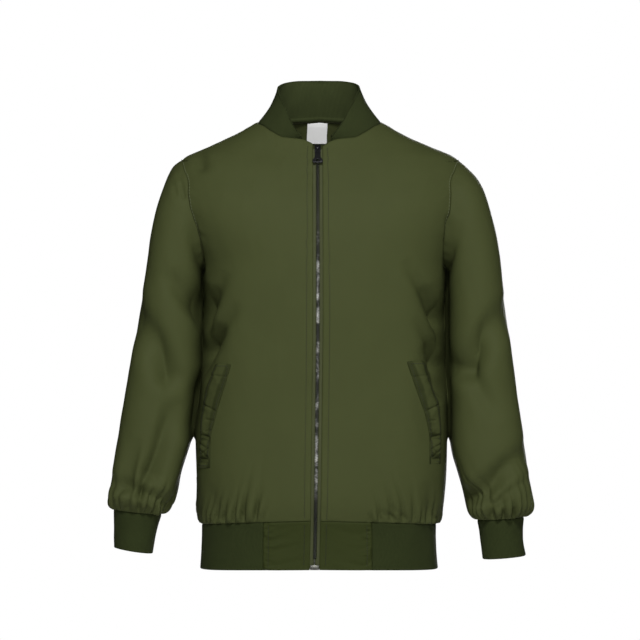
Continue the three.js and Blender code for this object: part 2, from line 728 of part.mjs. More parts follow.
function neckTape() {
  const rows = count(1).map((t) => count(NECK_TAPE.columns).map((u) => {
    const angle = lerp(SIDE_SEAM + NECK_TAPE.ends, 3 * SIDE_SEAM - NECK_TAPE.ends, u);
    const z = neckSeam(angle) - NECK_TAPE.top - t * NECK_TAPE.height;
    return wallPoint(bodyCloth({ angle, z }, -LINING_DEPTH), NECK_TAPE.thickness);
  }));
  return wall(rows);
}

function neckLabel() {
  const below = NECK_TAPE.top + NECK_TAPE.height + 2 * SEAM_GAP;
  const rows = count(NECK_LABEL.rows).map((t) => count(NECK_LABEL.columns).map((u) => {
    const x = NECK_LABEL.centre + (u - 0.5) * NECK_LABEL.size;
    const level = neckSeam(CENTRE_BACK) - below - t * NECK_LABEL.size;
    const angle = CENTRE_BACK - Math.atan2(x, body.back(level));
    const z = level + (1 - t) * (neckSeam(angle) - neckSeam(CENTRE_BACK));
    return wallPoint(bodyCloth({ angle, z }, -LINING_DEPTH), NECK_LABEL.thickness);
  }));
  return wall(rows);
}

const wasm = await Module();
wasm.setup();

function solid(geometry) {
  const bare = geometry.clone();
  bare.deleteAttribute('normal');
  bare.deleteAttribute('uv');
  const merged = mergeVertices(bare, 1e-4);
  return new wasm.Manifold(new wasm.Mesh({
    numProp: 3,
    vertProperties: merged.attributes.position.array,
    triVerts: new Uint32Array(merged.index.array),
  }));
}

function solidGeometry(manifold) {
  const { vertProperties, triVerts } = manifold.getMesh();
  const geometry = new THREE.BufferGeometry();
  geometry.setAttribute('position', new THREE.BufferAttribute(vertProperties, 3));
  geometry.setIndex(new THREE.BufferAttribute(triVerts, 1));
  geometry.computeVertexNormals();
  return geometry;
}

const box = (width, depth, height, x, y, z) =>
  new THREE.BoxGeometry(width, depth, height).translate(x, y, z);

// In the slider's own frame -Y points out of the jacket and Z up the zip; the
// origin lies on the cloth's outer face at the middle of the slider.
function sliderBody() {
  const { width, length, front, rear, slotNear, slotFar, postLength, postWidth, proud } = SLIDER;
  const nearFace = -proud;
  const frontPlate = box(width, proud + slotNear, length, 0, (nearFace + slotNear) / 2, 0);
  const rearPlate = box(width, rear, length, 0, slotFar + rear / 2, 0);
  const post = box(postWidth, slotFar - slotNear + front, postLength, 0,
    (slotFar + slotNear) / 2, (length - postLength) / 2);
  const arch = new THREE.Shape();
  const half = BAIL.span / 2;
  arch.moveTo(-half, 0.4);
  arch.quadraticCurveTo(-half, -BAIL.height, 0, -BAIL.height);
  arch.quadraticCurveTo(half, -BAIL.height, half, 0.4);
  arch.lineTo(half - BAIL.wall, 0.4);
  arch.quadraticCurveTo(half - BAIL.wall, BAIL.wall - BAIL.height, 0, BAIL.wall - BAIL.height);
  arch.quadraticCurveTo(BAIL.wall - half, BAIL.wall - BAIL.height, BAIL.wall - half, 0.4);
  const bail = new THREE.ExtrudeGeometry(arch, {
    depth: BAIL.width, bevelEnabled: false, curveSegments: 8,
  });
  bail.translate(0, 0, -BAIL.width / 2).rotateY(-Math.PI / 2).translate(0, nearFace, 0);
  const joined = [rearPlate, post, bail].reduce(
    (sum, piece) => sum.add(solid(piece)), solid(frontPlate));
  return solidGeometry(joined);
}

// In the pull's own frame its bar lies along X through the origin.
function pullPlate() {
  const edge = curve(PULL_OUTLINE, 'z', 'halfWidth');
  const [top, bottom] = [PULL_OUTLINE[0].z, PULL_OUTLINE.at(-1).z];
  const side = count(20).map((t) => lerp(top, bottom, t)).map((z) => [edge(z), z]);
  const plate = new THREE.Shape();
  plate.moveTo(...side[0]);
  side.slice(1).forEach((point) => plate.lineTo(...point));
  [...side].reverse().forEach(([x, z]) => plate.lineTo(-x, z));
  const slot = new THREE.Path();
  const half = PULL.windowWidth / 2;
  slot.moveTo(-half, -PULL.barRadius);
  slot.lineTo(-half, PULL.windowEnd);
  slot.lineTo(half, PULL.windowEnd);
  slot.lineTo(half, -PULL.barRadius);
  const hole = new THREE.Path(count(PULL_HOLE.sides).slice(0, -1).map((t) => new THREE.Vector2(
    PULL_HOLE.radius * Math.cos(2 * Math.PI * t),
    PULL_HOLE.z + PULL_HOLE.radius * Math.sin(2 * Math.PI * t),
  )));
  plate.holes.push(slot, hole);
  const geometry = new THREE.ExtrudeGeometry(plate, {
    depth: PULL.thickness, bevelEnabled: false, curveSegments: 12,
  });
  return geometry.translate(0, 0, -PULL.thickness / 2).rotateX(Math.PI / 2);
}

function zipBottom() {
  const z = ZIP_BOX.z;
  const x = zipX(z);
  const surface = bodyPoint({ angle: frontAngle(x, z), z }).y;
  const middle = surface - ZIP_BOX.proud + ZIP_BOX.thickness / 2;
  const boxGeometry = box(ZIP_BOX.width, ZIP_BOX.thickness, ZIP_BOX.height, x, middle, z);
  const length = ZIP_PIN.top - ZIP_PIN.bottom;
  const pin = new THREE.CylinderGeometry(ZIP_PIN.radius, ZIP_PIN.radius, length, 12)
    .rotateX(Math.PI / 2).translate(x, middle, (ZIP_PIN.top + ZIP_PIN.bottom) / 2);
  return { box: boxGeometry, pin };
}

function named(name, geometry, finish) {
  const material = new THREE.MeshStandardMaterial({ ...finish, side: THREE.DoubleSide });
  const mesh = new THREE.Mesh(geometry, material);
  mesh.name = name;
  return mesh;
}

function clothPieces() {
  return [
    named('front_right', frontPanel(-1), NYLON),
    named('front_left', frontPanel(1), NYLON),
    named('back', backPanel(), NYLON),
    named('sleeve_right', sleeve(-1, 'right'), NYLON),
    named('sleeve_left', sleeve(1, 'left'), NYLON),
    named('pocket_welt_right', pocketWelt('right'), NYLON),
    named('pocket_welt_left', pocketWelt('left'), NYLON),
    named('hem_tab_right', hemTab(-1), NYLON),
    named('hem_tab_left', hemTab(1), NYLON),
    named('collar', collar(), RIB_KNIT),
    named('cuff_right', cuff(-1, 'right'), RIB_KNIT),
    named('cuff_left', cuff(1, 'left'), RIB_KNIT),
    named('hem_rib', hemRib(), RIB_KNIT),
    named('neck_tape', neckTape(), ZIP_TAPE),
    named('neck_label', neckLabel(), LABEL_SATIN),
  ];
}

function zipPieces() {
  const bottom = zipBottom();
  return [
    named('zip_tape_right', zipTape(-1), ZIP_TAPE),
    named('zip_tape_left', zipTape(1), ZIP_TAPE),
    named('zip_chain', zipChain(), GUNMETAL),
    named('zip_box', bottom.box, NICKEL),
    named('zip_pin', bottom.pin, NICKEL),
  ];
}

// Slider and pull stand in a group whose Z axis runs up the zip.
function sliderGroup() {
  const x = zipX(SLIDER.z);
  const place = { angle: frontAngle(x, SLIDER.z), z: SLIDER.z };
  const lean = Math.atan2(bodyNormal(place).z, -bodyNormal(place).y);
  const group = new THREE.Group();
  group.position.copy(bodyPoint(place));
  group.rotation.x = -lean;
  group.add(named('zip_slider', sliderBody(), BLACK_METAL));
  const pull = named('zip_pull', pullPlate(), BLACK_METAL);
  pull.position.y = -PULL.axisProud;
  group.add(pull);
  return group;
}

const jacket = new THREE.Group();
jacket.add(...clothPieces(), ...zipPieces(), sliderGroup());

export default jacket;
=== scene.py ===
"""Bomber jacket, filled out as if worn: shell cloth, rib trims, metal zip and sewing."""

import logging
from collections.abc import Callable, Sequence
from dataclasses import dataclass, field
from enum import Enum
from math import pi, radians, tau

import bmesh
import bpy
import numpy as np
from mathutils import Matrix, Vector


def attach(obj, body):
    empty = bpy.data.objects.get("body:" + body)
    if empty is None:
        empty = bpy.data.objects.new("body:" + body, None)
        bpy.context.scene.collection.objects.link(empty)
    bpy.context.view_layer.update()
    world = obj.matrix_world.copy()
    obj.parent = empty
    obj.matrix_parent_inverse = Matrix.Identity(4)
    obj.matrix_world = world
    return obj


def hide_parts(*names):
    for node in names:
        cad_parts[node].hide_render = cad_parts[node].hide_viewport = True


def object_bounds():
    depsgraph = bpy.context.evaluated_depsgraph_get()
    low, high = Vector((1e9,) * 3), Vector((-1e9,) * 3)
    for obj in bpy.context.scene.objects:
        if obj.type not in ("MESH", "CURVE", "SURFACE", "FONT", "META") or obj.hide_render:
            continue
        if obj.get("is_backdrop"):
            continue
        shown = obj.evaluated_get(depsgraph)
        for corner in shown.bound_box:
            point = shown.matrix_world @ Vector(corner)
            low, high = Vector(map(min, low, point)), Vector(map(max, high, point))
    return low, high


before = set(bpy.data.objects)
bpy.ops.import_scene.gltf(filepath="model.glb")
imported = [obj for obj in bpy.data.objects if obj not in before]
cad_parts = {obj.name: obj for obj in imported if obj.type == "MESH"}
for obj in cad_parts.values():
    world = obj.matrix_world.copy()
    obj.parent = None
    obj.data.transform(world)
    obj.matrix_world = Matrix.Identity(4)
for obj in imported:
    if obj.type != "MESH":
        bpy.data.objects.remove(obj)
cad_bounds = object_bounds()

log = logging.getLogger("jacket")
Array = np.ndarray

MM = 0.001
SHELL = 1.6
RIB = 3.0
SEAM_GAP = 0.3
TUCK = 3.0
TURN_REACH = 0.9
SIDE_SEAM = pi / 2
CENTRE_BACK = pi


class Side(Enum):
    """The wearer's right or left, as the sign of X."""

    RIGHT = -1
    LEFT = 1

    @property
    def word(self) -> str:
        """The side's name as it stands in a node's name."""
        return self.name.lower()


def eased(share: Array) -> Array:
    """A cubic step from 0 to 1 that is level at both ends."""
    return share * share * (3 - 2 * share)


class Table:
    """A short table with named columns, read as smooth curves over its first column."""

    def __init__(self, columns: str, *rows: Sequence[float]) -> None:
        """Keep the rows in rising order of their first value.

        Args:
            columns: names of the columns, with spaces between them.
            rows: one row of numbers for each place.
        """
        self.names = columns.split()
        self.values = np.array(sorted(rows), dtype=float)

    def at(self, column: str, place: Array | float) -> Array:
        """Read one column at a place: a cubic between rows that never swings past them.

        The slope at a row is the harmonic mean of the slopes on both sides of it, and
        zero where they point opposite ways.

        Args:
            column: name of the column to read.
            place: values of the first column.

        Returns:
            The column's value at each place.
        """
        x, y = self.values[:, 0], self.values[:, self.names.index(column)]
        step = np.diff(x)
        secant = np.diff(y) / step
        before, after = secant[:-1], secant[1:]
        total = np.where(before + after == 0, 1, before + after)
        inner = np.where(before * after > 0, 2 * before * after / total, 0)
        slope = np.concatenate([secant[:1], inner, secant[-1:]])
        at = np.clip(place, x[0], x[-1])
        i = np.clip(np.searchsorted(x, at, side="right") - 1, 0, len(x) - 2)
        t = (at - x[i]) / step[i]
        rise = eased(t)
        bend = (t**3 - 2 * t * t + t) * slope[i] + (t**3 - t * t) * slope[i + 1]
        return y[i] + (y[i + 1] - y[i]) * rise + bend * step[i]

    def columns(self) -> Array:
        """The rows without their first column."""
        return self.values[:, 1:]


BODY_SECTIONS = Table(
    "z centre width front back squareness",
    (14, 0, 72, 38, 67, 2.1),
    (0, 0, 97, 46, 75, 2.1),
    (-20, -1, 133, 56, 88, 2.1),
    (-40, 0, 177, 66, 99, 2.2),
    (-60, 1, 219, 79, 108, 2.3),
    (-85, 0, 236, 92, 117, 2.6),
    (-110, 0, 236, 105, 124, 2.8),
    (-132, 1, 231, 115, 128, 3),
    (-161, 3, 219, 122, 131, 3),
    (-192, 5, 205, 127, 132, 2.9),
    (-234, 8, 193, 131, 130, 2.7),
    (-300, 7, 191, 133, 124, 2.6),
    (-380, 6, 191, 131, 118, 2.6),
    (-445, 6, 195, 130, 116, 2.6),
    (-510, 3, 200, 130, 118, 2.6),
    (-560, 3, 199, 131, 120, 2.6),
    (-600, 2, 197, 130, 121, 2.6),
    (-625, 0, 194, 124, 117, 2.6),
    (-645, -1, 187, 117, 111, 2.6),
    (-680, -1, 188, 116, 110, 2.6),
    (-714, -1, 190, 117, 111, 2.6),
)
NECK_SEAM = Table(
    "angle z", (0, -45), (12, -36), (24, -30.5), (45, -27), (58, -18), (72, -7), (90, 0), (130, 6), (180, 11)
)
HEM_SEAM = Table("angle z", (0, -631), (40, -634), (90, -642), (180, -642))
HEM_EDGE = Table("angle z", (0, -708), (40, -709), (90, -713), (180, -713))
ZIP_LINE = Table("z x", (0, -3), (-285, -2.4), (-520, -4.7), (-640, -6.4), (-714, -8))
ZIP_OPENING = 15.0
TAB_EDGE = {Side.RIGHT: -88.5, Side.LEFT: 82.5}
HEM_TOP, HEM_LOW = -631.0, -708.0
HEM_FADE = 12.0
FRONT_WAVES, BACK_WAVES = 10, 26
ARM_FULLNESS, SIDE_FULLNESS = 16.0, 5.0
SIDE_ANGLES, SIDE_HEIGHTS = (56, 68, 22), (-540, -290, 90)

ARMHOLE_TOP, ARMHOLE_BOTTOM, ARMHOLE_FRONT, ARMHOLE_BACK = -61.0, -234.0, 76.0, 82.0
SIDE_ROWS = (355, 300, 240, 185, 135, 90, 55, 30, 16, 7, 0)

SLEEVE_COLUMNS = "ring outer_x outer_z inner_x inner_z depth y"
SLEEVE_RINGS = {
    Side.RIGHT: Table(
        SLEEVE_COLUMNS,
        (1, -236, -76, -188, -241, 79, 0),
        (2, -248, -103, -190, -256, 81, 0),
        (3, -258, -135, -190, -274, 82, 0),
        (4, -267, -174, -190, -296, 82, -1),
        (5, -273, -214, -190, -322, 81, -2),
        (6, -279, -255, -190, -347, 80, -4),
        (7, -286, -299, -190, -374, 78, -7),
        (8, -293, -343, -190, -402, 76, -10),
        (9, -300, -385, -192, -430, 74, -14),
        (10, -308, -428, -195, -460, 72, -18),
        (11, -315, -470, -200, -492, 70, -23),
        (12, -321, -512, -210, -526, 68, -28),
        (13, -326, -548, -220, -558, 65, -33),
        (14, -331, -587, -232, -597, 61, -38),
        (15, -331, -601, -239, -608, 56, -40),
        (16, -329.5, -610, -244.5, -617.5, 47, -41),
        (17, -326.5, -616.5, -250.5, -625, 40, -42),
    ),
    Side.LEFT: Table(
        SLEEVE_COLUMNS,
        (1, 238, -75, 207, -241, 79, 0),
        (2, 255, -97, 208, -256, 81, 0),
        (3, 267, -131, 208, -274, 82, 0),
        (4, 278, -172, 208, -296, 82, -1),
        (5, 286, -213, 208, -322, 81, -2),
        (6, 291, -256, 208, -347, 80, -4),
        (7, 296, -300, 208, -374, 78, -7),
        (8, 302, -344, 208, -402, 76, -10),
        (9, 308, -388, 208, -431, 74, -14),
        (10, 313, -431, 208, -463, 72, -18),
        (11, 319, -472, 208, -496, 70, -23),
        (12, 325, -514, 212, -530, 68, -28),
        (13, 330, -552, 222, -562, 65, -33),
        (14, 334, -599, 236, -606, 61, -38),
        (15, 333.5, -614, 240, -618, 56, -40),
        (16, 329, -623, 245, -627, 47, -41),
        (17, 324, -629, 250, -634, 40, -42),
    ),
}
CUFF_RINGS = {
    Side.RIGHT: Table(
        SLEEVE_COLUMNS,
        (0, -326.5, -616.5, -250.5, -625, 38, -42),
        (1, -326, -646, -259, -655, 34, -43),
        (2, -325.5, -677.5, -264.5, -687, 32, -45),
    ),
    Side.LEFT: Table(
        SLEEVE_COLUMNS,
        (0, 324, -629, 250, -634, 38, -42),
        (1, 322.5, -660, 255, -665, 34, -43),
        (2, 327, -690, 258.5, -696, 32, -45),
    ),
}
COLLAR_RIM = Table(
    "angle across forward z",
    (24, 26, 64, -25),
    (45, 40, 51, -3),
    (65, 52, 35, 22),
    (85, 62, 14, 44),
    (105, 66, -6, 56),
    (130, 58, -27, 64),
    (155, 33, -44, 69),
    (180, 0, -51, 70),
)
WELT_OUTLINE = {
    Side.RIGHT: Table(
        "z inner outer",
        (-385, -135, -160), (-406, -140.5, -167), (-433, -149, -176), (-469, -159, -181.5),
        (-506, -167.5, -184.5), (-550, -168.5, -186),
    ),
    Side.LEFT: Table(
        "z inner outer",
        (-381, 134, 164), (-408, 142.5, 173.5), (-436, 152, 181), (-474, 164.5, 186),
        (-506, 169.5, 187.5), (-544, 169.7, 187),
    ),
}


class Face(Enum):
    """Which way a crease looks, as the sign of Y."""

    FRONT = -1
    BACK = 1


@dataclass(frozen=True)
class Crease:
    """A soft trough between two points seen from the front or back, in millimetres."""

    start: tuple[float, float]
    end: tuple[float, float]
    width: float
    depth: float
    face: Face

    def relief(self, point: Array, normal: Array) -> Array:
        """Height of the cloth over its smooth form.

        The trough is a Gaussian of the distance to the line from start to end, with a
        low ridge along each side of it, on the cloth that looks this crease's way. It
        deepens from start to end with the share s of the way as s (2 - s).

        Args:
            point: places on the cloth, in millimetres.
            normal: outward directions there.

        Returns:
            The height at each place, in millimetres.
        """
        start, end = np.array(self.start), np.array(self.end)
        along = end - start
        offset = point[..., (0, 2)] - start
        share = np.clip((offset @ along) / (along @ along), 0, 1)
        away = np.linalg.norm(offset - share[..., None] * along, axis=-1) / self.width
        facing = np.clip(normal[..., 1] * self.face.value * 3, 0, 1)
        depth = facing * self.depth * share * (2 - share)
        return -depth * (1 - 0.55 * away**2) * np.exp(-(away**2))


def creases(face: Face, *rows: tuple[float, float, float, float, float, float]) -> list[Crease]:
    """Make creases from rows of x1, z1, x2, z2, width and depth.

    Args:
        face: which way they all look.
        rows: one row for each crease.

    Returns:
        The creases.
    """
    return [Crease((x1, z1), (x2, z2), width, depth, face) for x1, z1, x2, z2, width, depth in rows]


BODY_CREASES = [
    *creases(
        Face.FRONT,
        (-144, -240, -184, -322, 13, 11),
        (-124, -292, -182, -368, 12, 12),
        (-166, -260, -194, -326, 22, 16),
        (-150, -322, -190, -386, 21, 21),
        (-194, -42, -188, -72, 14, 7),
        (132, -222, 192, -318, 13, 13),
        (146, -312, 194, -388, 12, 11),
        (164, -262, 204, -344, 25, 17),
        (164, -350, 202, -418, 22, 22),
        (168, -566, 180, -630, 12, 5),
        (-172, -572, -158, -634, 12, 4),
        (-60, -70, -92, -50, 22, 3),
        (166, -388, 186, -430, 12, 7),
        (-199, -160, -186, -240, 5.5, 17),
        (204, -150, 202, -240, 5.5, 18),
        (96, -612, 118, -632, 6, 4),
        (112, -606, 134, -630, 5, 3),
        (-100, -596, -98, -630, 5, 2.6),
        (-122, -588, -120, -630, 5, 2.6),
    ),
    *creases(
        Face.BACK,
        (-120, -238, -184, -300, 20, 8),
        (-100, -330, -178, -366, 20, 6),
        (118, -226, 192, -292, 20, 8),
        (104, -320, 188, -372, 20, 6),
        (-60, -500, -120, -560, 24, 5),
        (80, -470, 130, -545, 24, 5),
    ),
]
SLEEVE_CREASES = {
    Side.RIGHT: [
        *creases(
            Face.FRONT,
            (-240, -238, -186, -312, 20, 16),
            (-296, -276, -238, -402, 24, 20),
            (-222, -88, -214, -122, 5, 3),
            (-232, -92, -226, -118, 5, 2),
            (-226, -440, -262, -556, 17, 16),
            (-336, -566, -250, -598, 13, 9),
            (-284, -500, -306, -580, 12, 11),
            (-262, -530, -282, -590, 9, 8),
        ),
        *creases(Face.BACK, (-204, -280, -262, -350, 20, 6), (-220, -480, -280, -550, 18, 6)),
    ],
    Side.LEFT: [
        *creases(
            Face.FRONT,
            (300, -280, 230, -392, 24, 22),
            (286, -480, 236, -400, 18, 8),
            (336, -510, 248, -592, 20, 19),
            (330, -560, 276, -606, 9, 8),
        ),
        *creases(Face.BACK, (220, -280, 278, -350, 20, 6), (230, -480, 296, -550, 18, 6)),
    ],
}


def unit(vectors: Array) -> Array:
    """Vectors scaled to length one."""
    length = np.linalg.norm(vectors, axis=-1, keepdims=True)
    return vectors / np.maximum(length, 1e-9)


def refine(values: Sequence[float] | Array, times: int) -> Array:
    """Put evenly spaced values between each two of a list, so that it has times as many steps."""
    values = np.asarray(values, dtype=float)
    fine = np.linspace(0, len(values) - 1, (len(values) - 1) * times + 1)
    return np.interp(fine, np.arange(len(values)), values)


def noise(seed: int, u: Array, v: Array | float = 0.0) -> Array:
    """Smooth random heights from -1 to 1 over a plane, one wave about every two units.

    Random numbers on the whole-number points of the plane are blended by a cubic step.

    Args:
        seed: which pattern to use.
        u: first coordinate.
        v: second coordinate.

    Returns:
        The height at each place.
    """
    lattice = np.random.default_rng(seed).uniform(-1, 1, (64, 64))
    u, v = np.broadcast_arrays(u, v)
    i, j = np.floor(u).astype(int), np.floor(v).astype(int)
    s, t = eased(u - i), eased(v - j)
    corner = lambda a, b: lattice[(i + a) % 64, (j + b) % 64]
    near = corner(0, 0) * (1 - s) + corner(1, 0) * s
    far = corner(0, 1) * (1 - s) + corner(1, 1) * s
    return near * (1 - t) + far * t


def gathers(seed: int, waves: Array, above: Array, depth: float, crest: float) -> Array:
    """Height of gathered cloth over a seam.

    Each wave rises from the seam to its crest and fades above it as h exp(1 - h), with
    a depth and a crest height of its own; crests are narrower than the hollows.

    Args:
        seed: which pattern of uneven waves to use.
        waves: how many waves along the seam each place lies.
        above: height over the seam, in millimetres.
        depth: usual height of a wave, in millimetres.
        crest: usual height of its crest over the seam, in millimetres.

    Returns:
        The height of the cloth at each place, in millimetres.
    """
    leaning = waves + 0.012 * above * noise(seed + 3, waves * 0.6)
    warped = leaning + 0.3 * noise(seed, leaning * 0.9)
    size = 1 + 0.75 * noise(seed + 1, leaning * 0.8)
    reach = crest * (1.05 + 0.75 * noise(seed + 2, leaning * 0.75))
    height = np.maximum(above, 0) / reach
    narrow = 0.7 - 1.7 * (0.5 + 0.5 * np.cos(tau * warped)) ** 2.6
    fine = 0.35 * np.cos(tau * 2.3 * leaning + 4 * noise(seed + 4, leaning)) * np.exp(-above / 9)
    return depth * (size * height * np.exp(1 - height) * narrow + fine * np.minimum(1, height))


@dataclass(frozen=True)
class BodyForm:
    """The smooth form of the body: level sections stacked along Z, in millimetres."""

    blend: float = 16.0

    def smooth(self, column: str, z: Array) -> Array:
        """Read a column of the sections as the mean over a stretch of heights round z."""
        offsets = np.linspace(-self.blend, self.blend, 5)
        return sum(BODY_SECTIONS.at(column, z + offset) for offset in offsets) / len(offsets)

    def point(self, angle: Array, z: Array) -> Array:
        """A point by its angle round the body, 0 at the centre front, and its height.

        The section is |x / width|^n + |y / depth|^n = 1 about its centre.

        Args:
            angle: angles in radians, rising towards the wearer's left.
            z: heights in millimetres.

        Returns:
            Points in millimetres, with X, Y and Z along the last axis.
        """
        angle, z = np.broadcast_arrays(angle, z)
        depth = np.where(np.cos(angle) > 0, self.smooth("front", z), self.smooth("back", z))
        power = self.smooth("squareness", z)
        across = np.abs(np.sin(angle) / BODY_SECTIONS.at("width", z)) ** power
        along = np.abs(np.cos(angle) / depth) ** power
        radius = (across + along) ** (-1 / power)
        x = BODY_SECTIONS.at("centre", z) + radius * np.sin(angle)
        return np.stack([x, -radius * np.cos(angle), z], axis=-1)

    def normal(self, angle: Array, z: Array) -> Array:
        """Outward directions: the cross product of the two slopes of the surface."""
        turn, rise = 0.002, 0.5
        around = self.point(angle + turn, z) - self.point(angle - turn, z)
        up = self.point(angle, z + rise) - self.point(angle, z - rise)
        return unit(np.cross(around, up))

    def front_angle(self, x: Array, z: Array) -> Array:
        """The angle of the front's point at a given X and height."""
        power = self.smooth("squareness", z)
        offset = x - BODY_SECTIONS.at("centre", z)
        across = np.minimum(0.999, np.abs(offset) / BODY_SECTIONS.at("width", z))
        return np.arctan2(offset, self.smooth("front", z) * (1 - across**power) ** (1 / power))

    def armhole(self, side: Side, turn: Array) -> tuple[Array, Array]:
        """Angle and height of the armhole seam: turn 0 at the shoulder, pi at the armpit.

        Args:
            side: which armhole.
            turn: angles round it, in radians, to the front first.

        Returns:
            The angle round the body and the height, for each turn.
        """
        z = ARMHOLE_TOP + (ARMHOLE_BOTTOM - ARMHOLE_TOP) * (1 - np.cos(turn)) / 2
        forward = np.sin(turn) * np.where(np.sin(turn) > 0, ARMHOLE_FRONT, ARMHOLE_BACK)
        depth = np.where(forward > 0, self.smooth("front", z), self.smooth("back", z))
        power = self.smooth("squareness", z)
        share = 1 - np.abs(forward / depth) ** power
        across = BODY_SECTIONS.at("width", z) * share ** (1 / power)
        return side.value * np.arctan2(across, forward), z

    def zip_angle(self, z: Array, offset: Array | float) -> Array:
        """The angle at a distance beside the zip's middle line."""
        return self.front_angle(ZIP_LINE.at("x", z) + offset, z)


BODY = BodyForm()


def by_angle(table: Table, angle: Array) -> Array:
    """Read the height of a seam that is the same on both sides of the body."""
    turned = np.abs(np.degrees(angle))
    return table.at("z", np.where(turned > 180, 360 - turned, turned))


def window(value: Array, low: float, high: float, blend: float) -> Array:
    """One between two values, falling to nothing over a blend outside them."""
    rise = np.clip((value - low + blend) / blend, 0, 1)
    fall = np.clip((high + blend - value) / blend, 0, 1)
    return eased(np.minimum(rise, fall))


@dataclass(frozen=True)
class Underarm:
    """Where the cloth of body and sleeve is full under an arm, in millimetres."""

    middle: float = 68.0
    half: float = 46.0
    bend: float = -300.0
    lean: float = 0.1
    heights: tuple[float, float, float] = (-494, -238, 22)

    def share(self, point: Array) -> Array:
        """Share of the fullness: a soft window in Y and height, further forward below its bend."""
        y, z = point[..., 1], point[..., 2]
        middle = self.middle + self.lean * np.minimum(0, z - self.bend)
        return np.exp(-(((y - middle) / self.half) ** 2)) * window(z, *self.heights)


UNDERARM = Underarm()


def body_relief(point: Array, normal: Array, angle: Array, z: Array) -> Array:
    """Height of the body's cloth over its smooth form.

    Creases and the fullness under the arms fade out at the hem seam. The gathers stand
    over that seam, from each tab to the side seam and across the back, and leave the
    side seams where the smooth form has them.

    Args:
        point: places on the smooth form, in millimetres.
        normal: outward directions there.
        angle: their angles round the body, in radians.
        z: their heights, in millimetres.

    Returns:
        The height at each place, in millimetres.
    """
    turned = np.abs(angle)
    relief = sum(crease.relief(point, normal) for crease in BODY_CREASES)
    sideways = np.clip(3 * np.abs(normal[..., 0]) - 1.5, 0, 1)
    relief = relief + ARM_FULLNESS * sideways * UNDERARM.share(point)
    relief += SIDE_FULLNESS * window(np.degrees(turned), *SIDE_ANGLES) * window(z, *SIDE_HEIGHTS)
    above = z - by_angle(HEM_SEAM, angle)
    relief = relief * eased(np.clip(above / HEM_FADE, 0, 1))
    edge = np.where(angle > 0, TAB_EDGE[Side.LEFT], TAB_EDGE[Side.RIGHT])
    tab = np.abs(BODY.front_angle(edge, np.full_like(edge, HEM_TOP)))
    share = (turned - tab) / (SIDE_SEAM - tab)
    left_pattern = 40 * (angle > 0)
    front = gathers(11, FRONT_WAVES * share + 0.02 * above + left_pattern, above, depth=6.0, crest=10)
    front *= np.clip(share * 9 + 0.6, 0, 1)
    back = gathers(17, BACK_WAVES * (turned - SIDE_SEAM) / pi, above, depth=5.0, crest=11)
    away = np.minimum(np.abs(turned - SIDE_SEAM), np.abs(turned - 3 * SIDE_SEAM))
    from_seam = BODY_SECTIONS.at("width", z) * away
    return relief + np.where(turned > SIDE_SEAM, back, front) * held(from_seam)


@dataclass
class Grid:
    """A surface on a grid of points, with distances along it for seams and patterns."""

    point: Array
    normal: Array
    ring: bool = False

    def across(self) -> Array:
        """Distance along each row from its first point, in millimetres."""
        steps = np.linalg.norm(np.diff(self.point, axis=1), axis=-1)
        return np.concatenate([np.zeros((len(steps), 1)), np.cumsum(steps, axis=1)], axis=1)

    def down(self) -> Array:
        """Distance along each column from the first row, in millimetres."""
        steps = np.linalg.norm(np.diff(self.point, axis=0), axis=-1)
        return np.concatenate([np.zeros((1, steps.shape[1])), np.cumsum(steps, axis=0)], axis=0)

    def from_edges(self) -> Array:
        """Distance along each row from the nearer of its two ends, in millimetres."""
        across = self.across()
        return np.minimum(across, across[:, -1:] - across)

    def raised(self, relief: Array) -> "Grid":
        """The grid with each point moved out along its normal."""
        return Grid(self.point + self.normal * relief[..., None], self.normal, self.ring)

    def cut_area(self) -> float:
        """Area of the surface, in square metres."""
        p = self.point
        a = np.cross(p[1:, 1:] - p[:-1, :-1], p[1:, :-1] - p[:-1, 1:])
        return float(np.linalg.norm(a, axis=-1).sum() / 2 * MM * MM)


def seam_groove(distance: Array, depth: float = 0.8, reach: float = 1.6) -> Array:
    """The dip of cloth into a seam: a Gaussian of the distance to it."""
    return -depth * np.exp(-((distance / reach) ** 2))


def held(distance: Array) -> Array:
    """Share of its relief that cloth keeps near a seam which joins it to another piece."""
    return 1 - np.exp(-((distance / 3) ** 2))


def seam_puckers(seed: int, distance: Array, along: Array, depth: float, wave: float, reach: float) -> Array:
    """Small puckers beside a sewn seam.

    Random waves along the seam die out with the distance from it as d exp(1 - d).

    Args:
        seed: which pattern to use.
        distance: distance from the seam, in millimetres.
        along: place along the seam, in millimetres.
        depth: usual height, in millimetres.
        wave: half the length of a wave, in millimetres.
        reach: where the puckers are highest, in millimetres from the seam.

    Returns:
        The height at each place, in millimetres.
    """
    away = distance / reach
    slant = along + 0.35 * distance
    return depth * away * np.exp(1 - away) * noise(seed, slant / wave, distance / (4 * reach))


def limpness(seed: int, point: Array, depth: float = 0.55) -> Array:
    """Slow unevenness of hanging cloth: two layers of smooth noise over X, Y and Z."""
    x, y, z = point[..., 0], point[..., 1], point[..., 2]
    wide = noise(seed, x / 34 + y / 50, z / 62)
    fine = noise(seed + 5, x / 13 - y / 21, z / 26 + x / 40)
    return depth * (1.3 * wide + 0.45 * fine)


